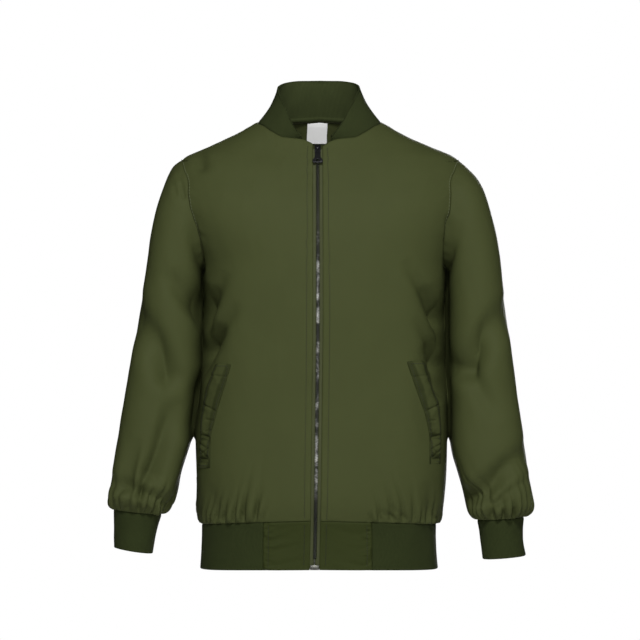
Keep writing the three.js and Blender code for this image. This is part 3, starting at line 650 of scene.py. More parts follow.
@dataclass(frozen=True)
class BodyPanel:
    """A front or back panel: its cut is filled between its two edges."""

    columns: int = 96
    row_times: int = 8
    shoulder_rows: int = 5
    armhole_rows: int = 12

    def outer_edge(self, side: Side, face: Face) -> tuple[Array, Array]:
        """Angle and height along shoulder, armhole and side seam.

        Args:
            side: which side's edge.
            face: whether it is a front's or the back's edge.

        Returns:
            Angles and heights from the neck to the hem.
        """
        times = self.row_times
        shoulder = np.linspace(0, ARMHOLE_TOP, self.shoulder_rows * times + 1)
        turn = -face.value * np.linspace(0, pi, self.armhole_rows * times + 1)[1:-1]
        angle, z = BODY.armhole(side, turn)
        heights = by_angle(HEM_SEAM, np.array(SIDE_SEAM)) + np.array(SIDE_ROWS)
        seam = refine(np.concatenate([[ARMHOLE_BOTTOM], heights]), times)
        z = np.concatenate([shoulder, z, seam])
        straight = lambda part: np.full(len(part), side.value * SIDE_SEAM)
        return np.concatenate([straight(shoulder), angle, straight(seam)]), z

    def zip_edge(self, side: Side) -> tuple[Array, Array]:
        """Angle and height along the front edge beside the zip, row for row with the outer edge."""
        offset = side.value * ZIP_OPENING / 2
        seam = by_angle(HEM_SEAM, np.array(0.0))
        corner = BODY.zip_angle(by_angle(NECK_SEAM, np.array(0.0)), offset)
        top = by_angle(NECK_SEAM, corner)
        upper = self.shoulder_rows + self.armhole_rows + 1
        above = np.linspace(top, seam + SIDE_ROWS[0], upper + 1)[:-1]
        z = refine(np.concatenate([above, seam + np.array(SIDE_ROWS)]), self.row_times)
        return BODY.zip_angle(z, offset), z

    def fill(self, start: tuple[Array, Array], end: tuple[Array, Array]) -> tuple[Array, Array]:
        """Angles and heights of the panel's grid between two edges.

        Each row runs straight from edge to edge, and the neck and hem seams bend the
        rows near them by the square of the share of the way to them.

        Args:
            start: angles and heights of the first edge.
            end: angles and heights of the second edge.

        Returns:
            Angles and heights on the grid.
        """
        u = np.linspace(0, 1, self.columns + 1)[None, :]
        rows = min(len(start[0]), len(end[0]))
        (a0, z0), (a1, z1) = ((a[:rows, None], z[:rows, None]) for a, z in (start, end))
        v = np.linspace(0, 1, rows)[:, None]
        bend = 0.0
        for row, table, weight in ((0, NECK_SEAM, (1 - v) ** 2), (-1, HEM_SEAM, v**2)):
            first, last = a0[row], a1[row]
            level = by_angle(table, first) * (1 - u) + by_angle(table, last) * u
            bend = bend + weight * (by_angle(table, first + (last - first) * u) - level)
        return a0 + (a1 - a0) * u, z0 + (z1 - z0) * u + bend

    def cloth(self, angle: Array, z: Array) -> Grid:
        """The panel's outer face with its creases and gathers."""
        grid = Grid(BODY.point(angle, z), BODY.normal(angle, z))
        return grid.raised(body_relief(grid.point, grid.normal, angle, z))


def linked(name: str, data: bpy.types.ID) -> bpy.types.Object:
    """Make an object of a mesh, camera or lamp and link it to the scene."""
    item = bpy.data.objects.new(name, data)
    bpy.context.scene.collection.objects.link(item)
    return item


def outward(item: bpy.types.Object, closed: bool = True) -> None:
    """Turn every face of a mesh outwards, after its open loops are filled if it isn't closed."""
    shape = bmesh.new()
    shape.from_mesh(item.data)
    if not closed:
        bmesh.ops.holes_fill(shape, edges=[edge for edge in shape.edges if edge.is_boundary], sides=0)
    bmesh.ops.recalc_face_normals(shape, faces=shape.faces)
    shape.to_mesh(item.data)
    shape.free()


def grid_mesh(name: str, points: Array, wrap_u: bool = False, wrap_v: bool = False,
              uv: Array | None = None) -> bpy.types.Object:
    """Make an object of quads from a grid of points.

    Args:
        name: the object's name.
        points: grid of points in millimetres, rows by columns by XYZ.
        wrap_u: whether the last column joins the first.
        wrap_v: whether the last row joins the first.
        uv: pattern coordinates in millimetres for each point, with one more column or
            row where the grid wraps round.

    Returns:
        The object, linked to the scene, with smooth faces.
    """
    rows, columns = points.shape[:2]
    i = np.arange(rows if wrap_v else rows - 1)[:, None]
    j = np.arange(columns if wrap_u else columns - 1)[None, :]
    corners = ((i, j), (i, j + 1), (i + 1, j + 1), (i + 1, j))
    index = lambda a, b: (a % rows) * columns + b % columns
    quads = np.stack([np.broadcast_to(index(a, b), (i.size, j.size)) for a, b in corners], axis=-1)
    mesh = bpy.data.meshes.new(name)
    mesh.vertices.add(rows * columns)
    mesh.vertices.foreach_set("co", (points * MM).astype(np.float32).ravel())
    mesh.loops.add(quads.size)
    mesh.loops.foreach_set("vertex_index", quads.astype(np.int32).ravel())
    mesh.polygons.add(quads.size // 4)
    mesh.polygons.foreach_set("loop_start", np.arange(0, quads.size, 4, dtype=np.int32))
    if uv is not None:
        layer = mesh.uv_layers.new(name="cut")
        places = np.stack([np.broadcast_to(uv[a, b], (i.size, j.size, 2)) for a, b in corners], axis=2)
        layer.data.foreach_set("uv", (places * MM).astype(np.float32).ravel())
    mesh.update(calc_edges=True)
    mesh.validate()
    mesh.shade_smooth()
    return linked(name, mesh)


def cut_map(grid: Grid) -> Array:
    """Pattern coordinates of a grid: distances across and down it from its middle column."""
    point = grid.point
    if grid.ring:
        point = np.concatenate([point, point[:, :1]], axis=1)
    whole = Grid(point, point)
    across = whole.across()
    return np.stack([across - across[:, -1:] / 2, -whole.down()], axis=-1)


def shell_piece(name: str, grid: Grid, thickness: float = SHELL) -> bpy.types.Object:
    """Make a wall of cloth whose outer face is a grid.

    Args:
        name: the object's name.
        grid: the outer face, in millimetres.
        thickness: of the cloth, in millimetres.

    Returns:
        The object, with its faces pointing out and its thickness laid inwards.
    """
    point = grid.point
    uv = cut_map(grid)
    middle = tuple(n // 2 for n in point.shape[:2])
    i, j = middle
    face = np.cross(point[i, j + 1] - point[i, j], point[i + 1, j] - point[i, j])
    if face @ grid.normal[middle] < 0:
        point, uv = point[:, ::-1], uv[:, ::-1]
    item = grid_mesh(name, point, wrap_u=grid.ring, uv=uv)
    wall = item.modifiers.new("thickness", "SOLIDIFY")
    wall.thickness = thickness * MM
    wall.offset = -1
    wall.use_even_offset = False
    return item


def folded_rib(name: str, grid: Grid, thickness: float = RIB, rounding: int = 6) -> bpy.types.Object:
    """Make a doubled band whose last row is its fold.

    The profile runs down the outer face, round the fold as half a circle, and up the
    inner face, and each open end is closed by a fan of faces.

    Args:
        name: the object's name.
        grid: the outer face, in millimetres, with its seam in the first row.
        thickness: of the doubled cloth, in millimetres.
        rounding: how many steps the fold takes.

    Returns:
        The object.
    """
    last, before = grid.point[-1], grid.point[-2]
    normal = grid.normal[-1]
    away = unit(last - before)
    half = thickness / 2
    body = grid.point[:-1]
    middle = last - away * half - normal * half
    turns = np.linspace(0, pi, rounding + 1)[:, None, None]
    fold = middle + half * (np.cos(turns) * normal + np.sin(turns) * away)
    inner = (body - grid.normal[:-1] * thickness)[::-1]
    profile = np.concatenate([body, fold, inner])
    uv = cut_map(Grid(np.concatenate([profile, profile[:1]]), profile, grid.ring))
    i, j = 1, profile.shape[1] // 2
    face = np.cross(profile[i, j + 1] - profile[i, j], profile[i + 1, j] - profile[i, j])
    if face @ grid.normal[i, j] < 0:
        profile, uv = profile[:, ::-1], uv[:, ::-1]
    item = grid_mesh(name, profile, wrap_u=grid.ring, wrap_v=True, uv=uv)
    if not grid.ring:
        outward(item, closed=False)
    return item


class Expression:
    """A socket of a material's nodes that can be used in arithmetic."""

    def __init__(self, maker: "NodeMaker", socket: bpy.types.NodeSocket) -> None:
        """Wrap an output socket."""
        self.maker = maker
        self.socket = socket

    def math(self, operation: str, *others: "Expression | float") -> "Expression":
        """Add a Math node to this value."""
        return self.maker.node("ShaderNodeMath", {"operation": operation}, [self, *others])

    def __add__(self, other: "Expression | float") -> "Expression":
        """Sum."""
        return self.math("ADD", other)

    def __sub__(self, other: "Expression | float") -> "Expression":
        """Difference."""
        return self.math("SUBTRACT", other)

    def __rsub__(self, other: float) -> "Expression":
        """Difference with the value on the right."""
        return self.maker.node("ShaderNodeMath", {"operation": "SUBTRACT"}, [other, self])

    def __mul__(self, other: "Expression | float") -> "Expression":
        """Product."""
        return self.math("MULTIPLY", other)

    def __truediv__(self, other: "Expression | float") -> "Expression":
        """Quotient."""
        return self.math("DIVIDE", other)

    def clamped(self) -> "Expression":
        """This value held between 0 and 1."""
        return self.maker.node("ShaderNodeClamp", {}, [self])

    def sine(self) -> "Expression":
        """Sine of this value in radians."""
        return self.math("SINE")


class NodeMaker:
    """Builds one material's nodes from Python expressions."""

    def __init__(self, name: str) -> None:
        """Start a material that holds one Principled shader."""
        self.material = bpy.data.materials.new(name)
        self.material.use_nodes = True
        self.tree = self.material.node_tree
        self.shader = self.tree.nodes["Principled BSDF"]

    def node(self, kind: str, settings: dict[str, object] | None = None,
             inputs: Sequence[object] | dict[str, object] = (), output: int | str = 0) -> Expression:
        """Add a node of any kind.

        Args:
            kind: the node's type.
            settings: properties that are set first, such as a Math node's operation.
            inputs: values or expressions of its sockets, in order or by name.
            output: which output to return.

        Returns:
            The output as an expression.
        """
        made = self.tree.nodes.new(kind)
        for key, value in (settings or {}).items():
            setattr(made, key, value)
        pairs = inputs.items() if isinstance(inputs, dict) else enumerate(inputs)
        for key, value in pairs:
            self.feed(made.inputs[key], value)
        return Expression(self, made.outputs[output])

    def feed(self, socket: bpy.types.NodeSocket, value: object) -> None:
        """Link an expression to a socket, or set the socket's own value."""
        if isinstance(value, Expression):
            self.tree.links.new(value.socket, socket)
        elif value is not None:
            socket.default_value = value

    def place(self) -> Expression:
        """Object coordinates, in metres."""
        return self.node("ShaderNodeTexCoord", output="Object")

    def cut(self) -> tuple[Expression, Expression]:
        """Distances across and down the cut piece, in metres."""
        uv = self.node("ShaderNodeUVMap", {"uv_map": "cut"})
        parts = self.node("ShaderNodeSeparateXYZ", {}, [uv])
        return parts, Expression(self, parts.socket.node.outputs[1])

    def noise(self, vector: Expression, scale: float, detail: float = 3.0,
              roughness: float = 0.55) -> Expression:
        """Noise from 0 to 1 with a scale in waves to the metre."""
        inputs = {"Vector": vector, "Scale": scale, "Detail": detail, "Roughness": roughness}
        return self.node("ShaderNodeTexNoise", {}, inputs)

    def mix(self, share: Expression, first: Sequence[float], second: Sequence[float]) -> Expression:
        """Blend two colours by a share from 0 to 1."""
        made = self.tree.nodes.new("ShaderNodeMix")
        made.data_type = "RGBA"
        self.feed(made.inputs["Factor"], share)
        for key, colour in ((6, first), (7, second)):
            self.feed(made.inputs[key], colour if isinstance(colour, Expression) else (*colour, 1.0))
        return Expression(self, made.outputs[2])

    def shaded(self, share: Expression, colour: Sequence[float], dark: float, light: float) -> Expression:
        """Blend from a colour times dark to the same colour times light."""
        return self.mix(share, tuple(c * dark for c in colour), tuple(c * light for c in colour))

    def bump(self, height: Expression, distance: float, strength: float = 1.0) -> Expression:
        """Turn a height from 0 to 1 into a normal; the distance is in metres."""
        inputs = {"Strength": strength, "Distance": distance, "Height": height}
        return self.node("ShaderNodeBump", {}, inputs)

    def finish(self, **sockets: object) -> bpy.types.Material:
        """Set the shader's sockets, with _ for a space in their names, and return the material."""
        for key, value in sockets.items():
            if isinstance(value, tuple) and len(value) == 3:
                value = (*value, 1.0)
            self.feed(self.shader.inputs[key.replace("_", " ").title().replace("Ior", "IOR")], value)
        return self.material


@dataclass(frozen=True)
class WovenNylon:
    """Plain-woven nylon with a soft sheen and fine crumples."""

    name: str = "olive_nylon"
    colour: tuple[float, float, float] = (0.0455, 0.0535, 0.0185)
    thread: float = 0.42 * MM

    def make(self) -> bpy.types.Material:
        """Build the material: two sines of the cut's distances are the weave."""
        maker = NodeMaker(self.name)
        across, down = maker.cut()
        place = maker.place()
        weave = (across * (tau / self.thread)).sine() * (down * (tau / self.thread)).sine()
        crumple = maker.noise(place, 55, 3)
        slub = maker.noise(place, 9, 2)
        height = weave * 0.02 + crumple * 0.55
        shade = (slub * 0.7 + crumple * 0.3 + weave * 0.04).clamped()
        return maker.finish(
            base_color=self.painted_shade_over(maker, maker.shaded(shade, self.colour, 0.9, 1.1)),
            roughness=(crumple * 0.12 + 0.6).clamped(),
            specular_ior_level=0.05,
            normal=maker.bump(height, 0.9 * MM, 0.22),
        )

    def painted_shade_over(self, maker: NodeMaker, colour: Expression) -> Expression:
        """The cloth's own colour, with no painted shade laid over it."""
        return colour


@dataclass(frozen=True)
class WeltNylon(WovenNylon):
    """The same nylon on a welt, with painted shade where its edges roll under and where its mouth gapes."""

    name: str = "olive_welt_nylon"
    colour: tuple[float, float, float] = (0.044, 0.052, 0.018)
    # painted shade: the dark colour laid over the rolled edges and the mouth's gathers
    wear_and_painted_shade: tuple[float, float, float] = (0.017, 0.021, 0.0065)
    flat_half: float = 7.2 * MM
    rolled: float = 4.0 * MM
    # shares of painted shade on the rolled rims and at the mouth's gathers, and where those gathers lie and how far
    # they spread
    rim_shade_share: float = 0.68
    mouth_shade_share: float = 0.9
    shaded_mouth_gathers: tuple[tuple[float, float], ...] = ((129 * MM, 7 * MM), (167 * MM, 9 * MM))

    def painted_shade_over(self, maker: NodeMaker, colour: Expression) -> Expression:
        """Blend to a painted shade colour past the flat middle and at the mouth's two gathers.

        The share is (|across| - flat half) / rolled, and 1 - (distance / size) squared
        at each gather, each held between nothing and one.
        """
        across, down = maker.cut()
        # painted shade: darker past the flat middle, where the edges roll under, and at the mouth's two gathers
        share = ((across.math("ABSOLUTE") - self.flat_half) / self.rolled).clamped() * self.rim_shade_share
        for place, size in self.shaded_mouth_gathers:
            away = (down + place) / size
            share = share + (1 - away * away).clamped() * self.mouth_shade_share
        return maker.mix(share.clamped(), colour, self.wear_and_painted_shade)


@dataclass(frozen=True)
class RibKnit:
    """Doubled rib knit: fine upright ribs of small loops, and past its turn an inner face, which can take a lighter
    colour as painted light.
    """

    name: str = "olive_rib"
    colour: tuple[float, float, float] = (0.022, 0.029, 0.0088)
    # colour of the inner face; one lighter than the outer colour is painted light
    inner: tuple[float, float, float] = (0.022, 0.029, 0.0088)
    turn: float = 70 * MM
    rib: float = 2.1 * MM
    course: float = 1.3 * MM

    def make(self) -> bpy.types.Material:
        """Build the material: a sine across the piece is the ribs, one down it the loops."""
        maker = NodeMaker(self.name)
        across, down = maker.cut()
        place = maker.place()
        ribs = (across * (tau / self.rib)).sine() * 0.5 + 0.5
        loops = (down * (tau / self.course) + ribs * 1.5).sine() * 0.5 + 0.5
        fuzz = maker.noise(place, 900, 2)
        height = ribs * 0.62 + ribs * loops * 0.22 + fuzz * 0.16
        shade = (ribs * 0.45 + loops * 0.15 + maker.noise(place, 40, 3) * 0.4).clamped()
        outside, inside = (maker.shaded(shade, colour, 0.78, 1.22) for colour in (self.colour, self.inner))
        # past the turn the inner face's colour shows: on the collar a lighter copy, painted light
        turned = ((0 - down - self.turn) / (4 * MM)).clamped()
        return maker.finish(
            base_color=maker.mix(turned, outside, inside),
            roughness=0.92,
            specular_ior_level=0.08,
            normal=maker.bump(height, 0.7 * MM, 0.7),
        )


@dataclass(frozen=True)
class WovenTape:
    """Ribbed woven tape, as of a zip."""

    name: str = "olive_tape"
    colour: tuple[float, float, float] = (0.048, 0.055, 0.021)
    pitch: float = 0.9 * MM

    def make(self) -> bpy.types.Material:
        """Build the material: slanting sines give a herringbone twill."""
        maker = NodeMaker(self.name)
        across, down = maker.cut()
        slant = maker.node("ShaderNodeMath", {"operation": "PINGPONG"}, [across, 2.5 * MM])
        twill = ((slant + down) * (tau / self.pitch)).sine() * 0.5 + 0.5
        fuzz = maker.noise(maker.place(), 700, 2)
        shade = (twill * 0.6 + fuzz * 0.4).clamped()
        return maker.finish(
            base_color=maker.shaded(shade, self.colour, 0.75, 1.2),
            roughness=0.85,
            specular_ior_level=0.25,
            normal=maker.bump(twill, 0.25 * MM, 0.6),
        )


@dataclass(frozen=True)
class Thread:
    """Twisted sewing thread."""

    name: str = "olive_thread"
    colour: tuple[float, float, float] = (0.007, 0.008, 0.0035)

    def make(self) -> bpy.types.Material:
        """Build the material: noise stands for the twist of so thin a thread."""
        maker = NodeMaker(self.name)
        twist = maker.noise(maker.place(), 2500, 2)
        return maker.finish(
            base_color=maker.shaded(twist, self.colour, 0.7, 1.3),
            roughness=0.6,
            specular_ior_level=0.4,
            normal=maker.bump(twist, 0.1 * MM, 0.5),
        )


@dataclass(frozen=True)
class LabelSatin:
    """White satin with a fine weave."""

    name: str = "white_satin"
    colour: tuple[float, float, float] = (0.93, 0.93, 0.92)
    thread: float = 0.5 * MM

    def make(self) -> bpy.types.Material:
        """Build the material: a sine down the label is its weft."""
        maker = NodeMaker(self.name)
        across, down = maker.cut()
        weft = (down * (tau / self.thread)).sine() * 0.5 + 0.5
        cloud = maker.noise(maker.place(), 60, 2)
        return maker.finish(
            base_color=maker.shaded(cloud, self.colour, 0.96, 1.0),
            roughness=(weft * 0.1 + 0.42).clamped(),
            sheen_weight=0.2,
            normal=maker.bump(weft, 0.1 * MM, 0.3),
        )


@dataclass(frozen=True)
class WornMetal:
    """Metal with a dark finish that is worn bright in places."""

    name: str
    colour: tuple[float, float, float]
    bright: tuple[float, float, float]
    metallic: float = 1.0
    roughness: float = 0.3
    # share of the surface that is worn bright
    wear_and_painted_shade: float = 0.5
    patch: float = 160.0
    top: float = 1.0
    bottom: float = -1.0

    def make(self) -> bpy.types.Material:
        """Build the material: noise decides where it is worn bright, between its two heights."""
        maker = NodeMaker(self.name)
        place = maker.place()
        patches = maker.noise(place, self.patch, 4, 0.7)
        height = maker.node("ShaderNodeSeparateXYZ", {}, [place], "Z")
        inside = ((self.top - height) * 25).clamped() * ((height - self.bottom) * 25).clamped()
        worn = ((patches - (1 - self.wear_and_painted_shade)) * 6).clamped() * inside
        scratches = maker.noise(place, 1400, 3)
        return maker.finish(
            base_color=maker.mix(worn, self.colour, self.bright),
            metallic=self.metallic,
            roughness=(scratches * 0.2 + self.roughness - worn * 0.08).clamped(),
            normal=maker.bump(scratches, 0.04 * MM, 0.4),
        )


@dataclass
class Wardrobe:
    """Every finish of the jacket, made once."""

    nylon: bpy.types.Material = field(default_factory=WovenNylon().make)
    rib: bpy.types.Material = field(default_factory=RibKnit().make)
    # painted light: the collar's rib is a lighter copy of the same knit, and lighter still on its inner face
    collar: bpy.types.Material = field(
        default_factory=RibKnit("olive_collar_rib_painted_light", (0.0245, 0.0315, 0.0102), (0.039, 0.049, 0.0172)).make)
    welt: bpy.types.Material = field(default_factory=WeltNylon().make)
    band: bpy.types.Material = field(
        default_factory=WovenNylon("olive_band_nylon", (0.0255, 0.0325, 0.0085)).make)
    tape: bpy.types.Material = field(default_factory=WovenTape().make)
    thread: bpy.types.Material = field(default_factory=Thread().make)
    pale_thread: bpy.types.Material = field(
        default_factory=Thread("pale_thread", (0.09, 0.105, 0.05)).make)
    label: bpy.types.Material = field(default_factory=LabelSatin().make)
    teeth: bpy.types.Material = field(default_factory=WornMetal(
        "gunmetal", (0.035, 0.036, 0.032), (0.44, 0.44, 0.41), wear_and_painted_shade=0.54, patch=42.0, top=-0.15,
        bottom=-0.6).make)
    black: bpy.types.Material = field(default_factory=WornMetal(
        "black_enamel", (0.008, 0.008, 0.009), (0.09, 0.09, 0.09), 0.6, 0.3, 0.35).make)
    nickel: bpy.types.Material = field(default_factory=WornMetal(
        "nickel", (0.09, 0.09, 0.08), (0.7, 0.7, 0.67), 1.0, 0.25, 0.42, patch=600.0).make)


def dress(item: bpy.types.Object, node: str, material: bpy.types.Material,
          body: str = "jacket") -> None:
    """Give a piece its finish, its body and the node that it stands for.

    Args:
        item: the piece.
        node: the CAD node it replaces.
        material: its finish.
        body: the CAD body it moves with.
    """
    item.data.materials.append(material)
    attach(item, body)
    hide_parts(node)
    log.info("%s stands for %s", item.name, node)


def shells(name: str, points: Array, faces: list[list[int]]) -> bpy.types.Object:
    """Make an object of closed shells from points in millimetres and their faces."""
    mesh = bpy.data.meshes.new(name)
    mesh.from_pydata((points.reshape(-1, 3) * MM).tolist(), [], faces)
    mesh.shade_smooth()
    item = linked(name, mesh)
    outward(item)
    return item


@dataclass
class Stitches:
    """Rows of lock stitches that lie on the cloth."""

    name: str
    pitch: float = 3.2
    length: float = 2.3
    radius: float = 0.34
    sides: int = 6
    ring_places: tuple[float, ...] = (0.0, 0.18, 0.82, 1.0)
    ring_sizes: tuple[float, ...] = (0.45, 1.0, 1.0, 0.45)
    ring_lifts: tuple[float, ...] = (-0.3, 0.05, 0.05, -0.3)
    runs: list[Array] = field(default_factory=list)

    def sew(self, point: Array, normal: Array, lift: float = 0.05) -> None:
        """Add a row along a path.

        Each stitch is a tube along its piece of the path: rings of a circle that is
        smaller at both ends, where the thread goes down into the cloth.

        Args:
            point: places along the path, in millimetres.
            normal: outward directions there.
            lift: height of the thread's middle over the path, in millimetres.
        """
        run = np.concatenate([[0], np.cumsum(np.linalg.norm(np.diff(point, axis=0), axis=-1))])
        starts = np.arange(self.pitch / 2, run[-1] - self.length, self.pitch)
        places = starts[:, None] + np.array(self.ring_places) * self.length
        read = lambda values: np.stack([np.interp(places, run, values[:, k]) for k in range(3)], axis=-1)
        centre, up = read(point), unit(read(normal))
        centre = centre + up * (lift + np.array(self.ring_lifts)[None, :, None])
        forward = unit(centre[:, -1:] - centre[:, :1])
        aside = unit(np.cross(forward, up))
        size = self.radius * np.array(self.ring_sizes)[None, :, None, None]
        turn = np.linspace(0, tau, self.sides, endpoint=False)[:, None]
        circle = np.cos(turn) * aside[:, :, None] + np.sin(turn) * up[:, :, None]
        self.runs.append(centre[:, :, None] + size * circle)

    def piece(self, material: bpy.types.Material) -> None:
        """Make one object of every stitch sewn so far."""
        rings = np.concatenate(self.runs)
        stitches, steps, sides = rings.shape[:3]
        index = np.arange(rings.size // 3).reshape(stitches, steps, sides)
        after = np.roll(index, -1, axis=2)
        quads = np.stack([index[:, :-1], after[:, :-1], after[:, 1:], index[:, 1:]], axis=-1).reshape(-1, 4)
        caps = [*index[:, 0, ::-1].tolist(), *index[:, -1].tolist()]
        item = shells(self.name, rings, quads.tolist() + caps)
        item.data.materials.append(material)
        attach(item, "jacket")


@dataclass
class Fronts:
    """The two fronts, with the turned edge beside the zip."""

    wardrobe: Wardrobe
    panel: BodyPanel = BodyPanel()
    turned_edge: float = 0.9
    stitch_line: float = 9.6
    armhole_stitch: float = 4.0

    def grid(self, side: Side) -> Grid:
        """The outer face of one front with creases, gathers and puckers."""
        angle, z = self.panel.fill(self.panel.zip_edge(side), self.panel.outer_edge(side, Face.FRONT))
        cloth = self.panel.cloth(angle, z)
        across = cloth.across()
        from_zip, from_side = across, across[:, -1:] - across
        down = cloth.down()
        from_neck, from_hem = down, down[-1:] - down
        seed = 30 + side.value
        relief = limpness(seed, cloth.point) * held(from_neck) * held(from_hem)
        relief -= self.turned_edge * np.exp(-from_zip / TURN_REACH)
        relief += seam_groove(np.abs(from_zip - self.stitch_line), 0.6, 0.9)
        relief += seam_puckers(seed + 3, from_zip, z, 0.5, 9, 6)
        relief += seam_groove(from_neck) + seam_groove(from_hem, 0.6)
        puckers = seam_puckers(seed + 9, from_side, z, 0.8, 9, 8)
        relief += puckers * window(z, ARMHOLE_BOTTOM, ARMHOLE_TOP - 30, 15)
        relief += seam_puckers(seed + 15, from_neck, across, 0.4, 7, 6)
        return cloth.raised(relief * held(from_side))

    def make(self, stitches: Stitches, topstitches: Stitches) -> None:
        """Build both fronts and sew the rows beside the zip and beside the armholes."""
        for side in Side:
            grid = self.grid(side)
            item = shell_piece(f"cloth_front_{side.word}", grid)
            dress(item, f"front_{side.word}", self.wardrobe.nylon)
            grid.cut_area()
            across = grid.across()
            column = np.argmax(across > self.stitch_line, axis=1)
            rows = np.arange(len(column))
            stitches.sew(grid.point[rows, column][4:-2], grid.normal[rows, column][4:-2])
            from_side = across[:, -1:] - across
            column = np.argmax(from_side < self.armhole_stitch, axis=1)
            shoulder, times = self.panel.shoulder_rows, self.panel.row_times
            sewn = rows[(shoulder + 1) * times:(shoulder + self.panel.armhole_rows) * times]
            topstitches.sew(grid.point[sewn, column[sewn]], grid.normal[sewn, column[sewn]], 0.15)


@dataclass
class Back:
    """The back, cut in one piece."""

    wardrobe: Wardrobe
    panel: BodyPanel = BodyPanel(columns=150)

    def make(self) -> None:
        """Build the back with creases, gathers and puckers."""
        start = self.panel.outer_edge(Side.LEFT, Face.BACK)
        angle, z = self.panel.outer_edge(Side.RIGHT, Face.BACK)
        cloth = self.panel.cloth(*self.panel.fill(start, (angle + tau, z)))
        across, down, from_side = cloth.across(), cloth.down(), cloth.from_edges()
        relief = limpness(50, cloth.point, 0.8) * held(down) * held(down[-1:] - down)
        relief += seam_groove(down) + seam_groove(down[-1:] - down, 0.6)
        relief += seam_puckers(51, from_side, cloth.point[..., 2], 1.0, 7, 7)
        relief += seam_puckers(53, down, across, 0.4, 7, 6)
        grid = cloth.raised(relief * held(from_side))
        item = shell_piece("cloth_back", grid)
        dress(item, "back", self.wardrobe.nylon)
        grid.cut_area()


def ring_grid(side: Side, point: Array) -> Grid:
    """A tube's grid on one side of the jacket, with its outward directions."""
    around = np.roll(point, -1, axis=1) - np.roll(point, 1, axis=1)
    return Grid(point, unit(np.cross(around, np.gradient(point, axis=0)) * side.value), ring=True)


@dataclass
class Sleeves:
    """Set-in sleeves: rings from the armhole seam to the gathered cuff seam."""

    wardrobe: Wardrobe
    columns: int = 132
    row_times: int = 12
    cuff_gathers: int = 20
    fullness: float = 8.0
    inner_fullness: float = 11.0
    hollow_heights: tuple[float, float, float] = (-476, -432, 44)
    hollow: dict[Side, float] = field(default_factory=lambda: {Side.RIGHT: 8.0, Side.LEFT: 2.0})

    def ring(self, side: Side, number: int, turn: Array) -> Array:
        """Points of one ring: an ellipse between its outer and inner points.

        Ring 0 is the armhole seam on the body's cloth.

        Args:
            side: which sleeve.
            number: which ring, counted from the armhole.
            turn: angles round it, from the outer point to the front first.

        Returns:
            Points in millimetres.
        """
        if number <= 0:
            angle, z = BODY.armhole(side, turn)
            point, normal = BODY.point(angle, z), BODY.normal(angle, z)
            return point + normal * body_relief(point, normal, angle, z)[..., None]
        rows = SLEEVE_RINGS[side].columns()
        return ellipse(rows[min(number, len(rows)) - 1], turn)

    def form(self, side: Side, turn: Array, along: Array) -> Array:
        """The smooth sleeve: a Catmull-Rom curve through the rings at each turn."""
        last = len(SLEEVE_RINGS[side].columns())
        rings = np.stack([self.ring(side, i, turn) for i in range(last + 1)])
        i = np.minimum(np.floor(along).astype(int), last - 1)
        t = (along - i)[:, None, None]
        a, b, c, d = (rings[np.clip(i + k, 0, last)] for k in (-1, 0, 1, 2))
        square, cube = 2 * a - 5 * b + 4 * c - d, 3 * b - a - 3 * c + d
        return 0.5 * (2 * b + (c - a) * t + square * t**2 + cube * t**3)

    def grid(self, side: Side) -> Grid:
        """The outer face of one sleeve with creases, cuff gathers and puckers."""
        turn = np.linspace(0, tau, self.columns, endpoint=False)
        last = len(SLEEVE_RINGS[side].columns())
        along = np.linspace(0, last, last * self.row_times + 1)
        point = self.form(side, turn, along)
        grid = ring_grid(side, point)
        normal = grid.normal
        relief = sum(crease.relief(point, normal) for crease in SLEEVE_CREASES[side])
        from_cuff = point[..., 2] - point[-1:, :, 2]
        waves = self.cuff_gathers * turn / tau
        waves = np.broadcast_to(waves, from_cuff.shape)
        relief += gathers(70 + side.value, waves, from_cuff, depth=6.5, crest=11)
        relief += self.fullness * np.sin(2 * turn) ** 2 * window(along, 3, last - 4, 3)[:, None]
        inner = np.clip(-side.value * normal[..., 0] * 1.6, 0, 1)
        relief += self.inner_fullness * inner * UNDERARM.share(point)
        forward = np.clip((20 - point[..., 1]) / 40, 0, 1)
        relief -= self.hollow[side] * inner * forward * window(point[..., 2], *self.hollow_heights)
        from_armhole = grid.down()
        relief += limpness(80 + side.value, point, 0.7)
        relief += seam_puckers(90 + side.value, from_armhole, turn * 80, 0.9, 9, 9)
        relief += seam_groove(from_cuff, 0.6)
        return grid.raised(relief * held(from_armhole))

    def make(self) -> None:
        """Build both sleeves."""
        for side in Side:
            grid = self.grid(side)
            item = shell_piece(f"cloth_sleeve_{side.word}", grid)
            dress(item, f"sleeve_{side.word}", self.wardrobe.nylon)
            grid.cut_area()


def ellipse(row: Array, turn: Array) -> Array:
    """An ellipse from a ring's row: outer X and Z, inner X and Z, half depth and middle Y."""
    outer_x, outer_z, inner_x, inner_z, depth, y = row
    outer, inner = np.array([outer_x, y, outer_z]), np.array([inner_x, y, inner_z])
    half = (outer - inner) / 2
    ring = (outer + inner) / 2 + np.cos(turn)[..., None] * half
    ring[..., 1] -= depth * np.sin(turn)
    return ring


@dataclass
class Cuffs:
    """Rib cuffs: a folded band below each sleeve."""

    wardrobe: Wardrobe
    columns: int = 120
    rows: int = 40

    def make(self) -> None:
        """Build both cuffs, a little waisted and uneven."""
        for side in Side:
            table = CUFF_RINGS[side]
            along = np.linspace(0, 2, self.rows + 1)
            turn = np.linspace(0, tau, self.columns, endpoint=False)
            names = table.names[1:]
            rows = np.stack([table.at(name, along) for name in names], axis=-1)
            point = np.stack([ellipse(row, turn) for row in rows])
            point[0, :, 2] -= SEAM_GAP
            grid = ring_grid(side, point)
            relief = 0.5 * noise(100 + side.value, turn * 3, along[:, None] * 2)
            grid = grid.raised(relief + seam_groove(grid.down(), 0.7))
            item = folded_rib(f"rib_cuff_{side.word}", grid)
            dress(item, f"cuff_{side.word}", self.wardrobe.rib)


